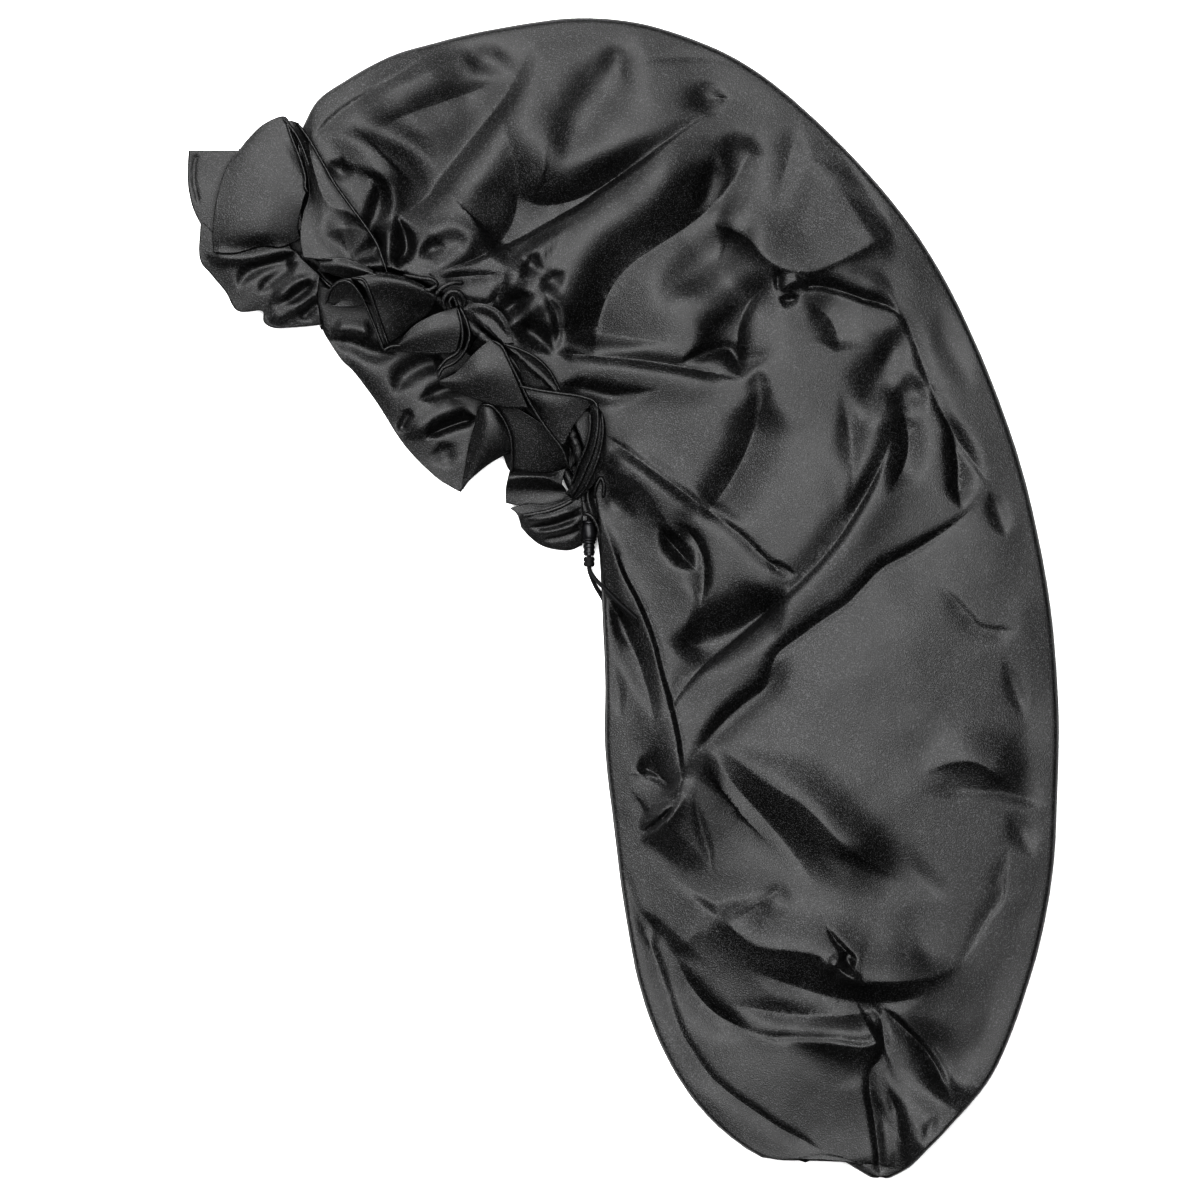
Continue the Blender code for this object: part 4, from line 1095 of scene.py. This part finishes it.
# Hems that show edge on, and small curls of the gather: radius mm, points.
ROLLS = [
    (0.95, [(283, 118, 20), (297, 136, 24), (306, 156, 25), (312, 178, 25),
            (313, 196, 23)]),
    (0.95, [(287, 122, 21), (293, 140, 24), (301, 160, 25), (306, 178, 25),
            (306, 188, 25), (310, 195, 24)]),
    (0.9, [(298, 124, 23), (310, 141, 26), (323, 163, 30), (335, 184, 33),
           (352, 208, 35), (366, 227, 36), (377, 244, 36), (384, 262, 36),
           (388, 274, 36)]),
    (0.9, [(326, 305, 25), (331, 291, 29), (340, 283, 32), (350, 283, 33),
           (359, 292, 32), (366, 305, 29), (374, 324, 26), (384, 350, 24)]),
    (0.9, [(352, 279, 35), (364, 281, 36), (370, 292, 36), (377, 312, 32),
           (384, 332, 27), (389, 346, 25)]),
    (1.2, [(404, 276, 38), (420, 279, 40), (433, 281, 40), (437, 286, 39),
           (430, 291, 38), (424, 290, 37)]),
    (1.3, [(436, 296, 38), (444, 288, 40), (454, 284, 40), (464, 284, 38)]),
    (1.3, [(446, 311, 36), (444, 301, 39), (451, 293, 41), (460, 294, 41),
           (465, 302, 38), (463, 308, 36)]),
    (1.0, [(452, 310, 36), (450, 302, 38), (454, 298, 38), (458, 308, 36)]),
    (0.95, [(460, 307, 35), (467, 322, 35), (470, 337, 34), (465, 352, 31),
            (455, 363, 28), (443, 369, 26), (438, 379, 25)]),
    (0.95, [(458, 309, 34), (462, 324, 34), (463, 340, 32), (458, 353, 29),
            (446, 361, 27), (437, 372, 25)]),
    (0.9, [(384, 351, 24), (392, 347, 25), (402, 346, 25)]),
    (0.95, [(492, 341, 36), (502, 347, 36), (510, 362, 35), (519, 380, 33),
            (527, 397, 31), (538, 416, 28), (552, 436, 26), (562, 449, 24),
            (569, 468, 20)]),
    (0.9, [(504, 345, 36), (522, 351, 38), (538, 360, 38), (551, 374, 36),
           (562, 395, 32)]),
    (0.95, [(483, 405, 23), (493, 407, 23), (504, 420, 21), (511, 438, 18),
            (512, 456, 14), (512, 472, 10)]),
    (0.9, [(520, 387, 33), (540, 391, 35), (560, 394, 36), (580, 397, 37),
           (594, 402, 37), (599, 412, 37)]),
    (0.95, [(597, 408, 38), (598, 424, 37), (595, 444, 34), (588, 464, 28),
            (579, 484, 21), (571, 498, 15)]),
    (0.95, [(602, 414, 36), (603, 432, 35), (600, 452, 31), (593, 472, 26),
            (584, 490, 19), (574, 500, 14)]),
    (0.9, [(590, 414, 34), (590, 430, 33), (586, 448, 29), (578, 466, 23),
           (572, 484, 17)]),
    (1.1, [(594, 498, 13), (596, 486, 17), (601, 478, 18), (604, 486, 17),
           (603, 498, 14)]),
    (1.1, [(584, 513, 12), (592, 517, 13), (598, 528, 12), (600, 541, 10),
           (602, 556, 9)]),
    (1.2, [(574, 500, 13), (560, 507, 14), (545, 512, 13), (522, 516, 10)]),
]


def tube(path, radius, sides=8, squash=1.0):
    """Closed tube along a path in metres."""
    n = len(path)
    tan = np.gradient(path, axis=0)
    tan /= np.linalg.norm(tan, axis=1, keepdims=True) + 1e-12
    up = np.array([0, 0, 1.0])
    flat = np.cross(tan, up)
    flat /= np.linalg.norm(flat, axis=1, keepdims=True) + 1e-9
    rise = np.cross(flat, tan)
    s = np.linspace(0, 1, n)
    taper = np.clip(np.minimum(s, 1 - s) / 0.05, 0.25, 1) ** 0.5
    r = radius * taper * np.ones(n)
    a = np.linspace(0, 2 * math.pi, sides, endpoint=False)
    ring = (path[:, None, :]
            + flat[:, None, :] * (r[:, None] * np.cos(a))[..., None]
            + rise[:, None, :] * (squash * r[:, None] * np.sin(a))[..., None])
    verts = ring.reshape(-1, 3)
    i, k = np.meshgrid(np.arange(n - 1), np.arange(sides), indexing="ij")
    a0 = (i * sides + k).ravel()
    a1 = (i * sides + (k + 1) % sides).ravel()
    faces = np.stack([a0, a1, a1 + sides, a0 + sides], axis=1)
    caps = []
    for base, flip in ((0, False), ((n - 1) * sides, True)):
        centre = len(verts)
        verts = np.vstack([verts, path[0 if base == 0 else -1]])
        for k in range(sides):
            q = [centre, base + (k + 1) % sides, base + k]
            caps.append(q[::-1] if flip else q)
    return verts, faces, caps


def join_parts(name, parts, mat):
    """One object out of several closed shells."""
    bm = bmesh.new()
    for verts, faces in parts:
        made = [bm.verts.new(tuple(p)) for p in verts]
        for f in faces:
            q = []
            for k in f:
                if made[k] not in q:
                    q.append(made[k])
            if len(q) > 2:
                try:
                    bm.faces.new(q)
                except ValueError:
                    pass
    bmesh.ops.recalc_face_normals(bm, faces=bm.faces)
    mesh = bpy.data.meshes.new(name)
    bm.to_mesh(mesh)
    bm.free()
    mesh.shade_smooth()
    mesh.materials.append(mat)
    obj = bpy.data.objects.new(name, mesh)
    bpy.context.scene.collection.objects.link(obj)
    return obj


def sheet_part(p, wall):
    """Closed shell of a small sheet, its edge closed by a flat strip."""
    nu, nv, _ = p.shape
    n = grid_normals(p)
    low = p - n * wall
    verts = np.concatenate([p.reshape(-1, 3), low.reshape(-1, 3)])
    rim = ([i * nv for i in range(nu)]
           + [(nu - 1) * nv + j for j in range(1, nv)]
           + [i * nv + nv - 1 for i in range(nu - 2, -1, -1)]
           + [j for j in range(nv - 2, 0, -1)])
    rim = np.array(rim)
    nxt = np.roll(rim, -1)
    off = nu * nv
    faces = np.concatenate([
        grid_faces(nu, nv), grid_faces(nu, nv, off)[:, ::-1],
        np.stack([nxt, rim, rim + off, nxt + off], axis=1)])
    return verts, faces.tolist()


upper_parts, lower_parts = [], []
for name, table, gathers, lay, group in PETALS:
    span = max(np.ptp(np.vstack([np.asarray(r) for r in table])[:, :2],
                      axis=0))
    step = 1.9 if group == "up" else 1.35
    nv_ = int(np.clip(span * 1.25 / step, 24, 190))
    nu_ = int(np.clip(span * 0.9 / step, 20, 130))
    g = rails(table, nu_, nv_)
    gx, gy, gz = g[..., 0], g[..., 1], g[..., 2]
    gz = gz + apply_folds(LOWER_FOLDS if group == "low" else FRILL_FOLDS,
                          gx, gy)
    tt = np.linspace(0, 1, nu_)[:, None]
    ss = np.linspace(0, 1, nv_)[None, :]
    if gathers[0]:
        gz = gz + gathers[1] * np.sin(2 * math.pi * gathers[0] * ss
                                      + 2.0 * tt) * (1 - 0.5 * tt)
    gz = gz + 0.25 * value_noise(gx, gy, 22, 21)
    if lay:
        gz = np.maximum(gz, under(gx, gy) + lay)
        for _ in range(2):
            q = gz.copy()
            q[1:-1, 1:-1] = (gz[1:-1, 1:-1] * 4 + gz[:-2, 1:-1] + gz[2:, 1:-1]
                             + gz[1:-1, :-2] + gz[1:-1, 2:]) / 8
            gz = q
    gz = np.maximum(gz, 1.2)
    stamp(gx, gy, gz)
    part = sheet_part(to_world(gx, gy, gz), 0.0009)
    (lower_parts if group == "low" else upper_parts).append(part)

for radius, pts in ROLLS:
    pts = [(a, b, 3 + (c - 3) * 0.74) for a, b, c in pts]
    line = smooth(pts, max(12, int(len(pts) * (12))))
    verts, faces, caps = tube(to_world(line[:, 0], line[:, 1], line[:, 2]),
                              radius * MM)
    upper_parts.append((verts, faces.tolist() + caps))

frill_up = join_parts("satin_upper_frill", upper_parts, SATIN_FRILL)
frill_low = join_parts("satin_lower_frill", lower_parts, SATIN_FRILL_LOW)
for obj, node in ((frill_up, "upper_frill"), (frill_low, "lower_frill")):
    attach(obj, "root")
    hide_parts(node)


def half_area(obj):
    bm = bmesh.new()
    bm.from_mesh(obj.data)
    total = sum(f.calc_area() for f in bm.faces) / 2
    bm.free()
    return total


print("frill areas", half_area(frill_up), half_area(frill_low),
      "panel", half_area(upper), half_area(lower))

# ---------------------------------------------------------------- casing
mouth_up = smooth([r[:2] for r in SECTIONS[:10]], 60, by_length=False)
mouth_up_z = np.interp(np.linspace(0, 9, 60), np.arange(10),
                       [r[5] for r in SECTIONS[:10]])


def outwards(line):
    step = np.gradient(line, axis=0)
    n = np.stack([-step[:, 1], step[:, 0]], axis=1)
    return n / np.linalg.norm(n, axis=1, keepdims=True)


reach = 7.0
up_line = mouth_up[3:-4] + outwards(mouth_up)[3:-4] * reach
low_line = mouth_low[5:-6] + outwards(mouth_low)[5:-6] * reach
loop = [(*p, q - 2.0) for p, q in zip(up_line, mouth_up_z[3:-4])][::5]
loop += [(581.0, 505.0, 6.4)]
loop += [(*p, 3.2) for p in low_line][::-5]
loop += [(300.5, 263.0, 6.2)]
loop = np.asarray(loop)
wrapped = np.vstack([loop[-2:], loop, loop[:3]])
m = len(loop)
path = smooth(wrapped, (len(wrapped) - 1) * 30 + 1,
              by_length=False)[60:60 + m * 30]
path_w = to_world(path[:, 0], path[:, 1], path[:, 2])
count, sides = len(path_w), 16
tan = np.roll(path_w, -1, axis=0) - np.roll(path_w, 1, axis=0)
tan /= np.linalg.norm(tan, axis=1, keepdims=True)
flat = np.stack([-tan[:, 1], tan[:, 0], np.zeros(count)], axis=1)
flat /= np.linalg.norm(flat, axis=1, keepdims=True) + 1e-9
rise = np.cross(tan, flat)
seg = np.linalg.norm(np.roll(path_w, -1, axis=0) - path_w, axis=1)
arc = np.cumsum(seg)
phase = 2 * math.pi * arc / 0.0062 + 2.2 * np.sin(arc * 170)
pulse = 1.0 - 0.16 * (0.5 - 0.5 * np.cos(phase)) * (
    0.6 + 0.4 * np.sin(arc * 410))
a = np.linspace(0, 2 * math.pi, sides, endpoint=False)
wob = 1 + 0.05 * np.sin(a[None, :] * 3 + phase[:, None] * 0.5)
ring = (path_w[:, None]
        + flat[:, None] * (0.0029 * pulse[:, None] * wob
                           * np.cos(a))[..., None]
        + rise[:, None] * (0.0023 * pulse[:, None] * wob
                           * np.sin(a))[..., None])
i, k = np.meshgrid(np.arange(count), np.arange(sides), indexing="ij")
i2, k2 = (i + 1) % count, (k + 1) % sides
faces = np.stack([(i * sides + k).ravel(), (i2 * sides + k).ravel(),
                  (i2 * sides + k2).ravel(), (i * sides + k2).ravel()],
                 axis=1)
ring[..., 2] = np.maximum(ring[..., 2], 0.0003)
casing = mesh_from("satin_casing", ring.reshape(-1, 3), faces, SATIN_CASING)
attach(casing, "root")
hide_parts("elastic_casing")


# ---------------------------------------------------------------- cord parts
def turned(name, rings, cx, cz, mat, lip=0.0, sides=40):
    """Bead-like piece along plan y with an oval bore for the strands."""
    rows = smooth([(yy, ww) for yy, ww in rings], len(rings) * 7,
                  by_length=False)
    bore = (1.35 * MM / UNIT, 2.5)
    ang = np.linspace(0, 2 * math.pi, sides, endpoint=False)
    verts = []
    for yy, ww in rows:
        tall = max(ww * UNIT / MM, bore[1] + 0.55)
        for q in ang:
            verts.append(to_world(cx + ww * math.cos(q), yy,
                                  cz + tall * math.sin(q)))
    for yy in (rows[-1][0], rows[0][0]):
        for q in ang:
            verts.append(to_world(cx + bore[0] * math.cos(q), yy,
                                  cz + bore[1] * math.sin(q)))
    total = len(rows) + 2
    faces = []
    for r in range(total):
        for s_ in range(sides):
            n1 = (r + 1) % total
            m1 = (s_ + 1) % sides
            faces.append((r * sides + s_, n1 * sides + s_, n1 * sides + m1,
                          r * sides + m1))
    return mesh_from(name, np.array(verts), faces, mat)


LOCK_RINGS = [
    (520.5, 5.2), (521.2, 6.4), (522.2, 6.9), (523.4, 6.8), (524.4, 6.2),
    (526.0, 6.9), (530.0, 7.6), (534.5, 7.7), (537.6, 7.2), (538.6, 6.7),
    (539.4, 7.4), (540.4, 7.3), (541.2, 6.2), (542.2, 6.5), (543.2, 6.3),
    (544.2, 5.1), (545.6, 5.2), (547.0, 5.9), (548.4, 5.3), (549.8, 4.9),
    (551.2, 5.4), (552.4, 5.7), (553.8, 5.1), (555.5, 4.9),
]
lock = turned("cord_lock_moulded", LOCK_RINGS, 589.0, 4.5, MOULDED)
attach(lock, "root")
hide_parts("cord_lock")
KNOT_RINGS = [
    (557.0, 3.9), (557.8, 4.9), (559.2, 5.5), (560.6, 5.2), (561.6, 4.5),
    (562.6, 5.1), (564.0, 5.5), (565.4, 5.0), (566.4, 3.9),
]
knot = turned("cord_knot_tied", KNOT_RINGS, 589.0, 4.5, ELASTIC)
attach(knot, "root")
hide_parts("cord_knot")


def strand(name, route, node):
    pts = []
    for px, py, pz in route:
        if pz is None:
            near = [float(under(np.array([px + a]), np.array([py + b]))[0])
                    for a in (-2, 0, 2) for b in (-2, 0, 2)]
            pz = max(near) + CORD_D / 2 + 0.1
        pts.append((px, py, pz))
    line = smooth(pts, 34)
    line = to_world(line[:, 0], line[:, 1], line[:, 2])
    curve = bpy.data.curves.new(name, "CURVE")
    curve.dimensions = "3D"
    curve.bevel_depth = CORD_D / 2 * MM
    curve.bevel_resolution = 4
    curve.use_fill_caps = True
    spline = curve.splines.new("POLY")
    spline.points.add(len(line) - 1)
    for q, p in enumerate(line):
        spline.points[q].co = (*p, 1.0)
    curve.materials.append(ELASTIC)
    obj = bpy.data.objects.new(name, curve)
    bpy.context.scene.collection.objects.link(obj)
    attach(obj, "root")
    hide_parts(node)
    length = float(np.linalg.norm(np.diff(line, axis=0), axis=1).sum())
    return obj, tuple(float(c) for c in line[0]), length


strand_a, exit_a, length_a = strand("elastic_strand_a", STRAND_A,
                                    "cord_strand_a")
strand_b, exit_b, length_b = strand("elastic_strand_b", STRAND_B,
                                    "cord_strand_b")
print("strand lengths", length_a, length_b)

# ---------------------------------------------------------------- stage
bpy.ops.mesh.primitive_plane_add(size=14, location=(0, 0, -0.0003))
floor = bpy.context.object
floor.name = "floor"
floor.data.materials.append(FLOOR)


def area_light(name, location, size, power, target=(0, 0, 0)):
    data = bpy.data.lights.new(name, "AREA")
    data.shape = "RECTANGLE"
    data.size, data.size_y = size
    data.energy = power
    obj = bpy.data.objects.new(name, data)
    obj.location = location
    obj.rotation_euler = (Vector(target) - Vector(location)).to_track_quat(
        "-Z", "Y").to_euler()
    bpy.context.scene.collection.objects.link(obj)
    return obj


area_light("softbox_over", (-0.50, 1.10, 6.0), (6.0, 8.4), 615)
area_light("softbox_side", (-4.6, 5.4, 3.4), (7.0, 5.0), 235)
world = bpy.data.worlds.new("studio")
world.use_nodes = True
world.node_tree.nodes["Background"].inputs[0].default_value = (1, 1, 1, 1)
world.node_tree.nodes["Background"].inputs[1].default_value = 0.03
bpy.context.scene.world = world
bpy.context.scene.view_settings.view_transform = "Standard"
bpy.context.scene.view_settings.look = "Very High Contrast"
bpy.context.scene.view_settings.gamma = 0.76
bpy.context.scene.view_settings.exposure = 0.45
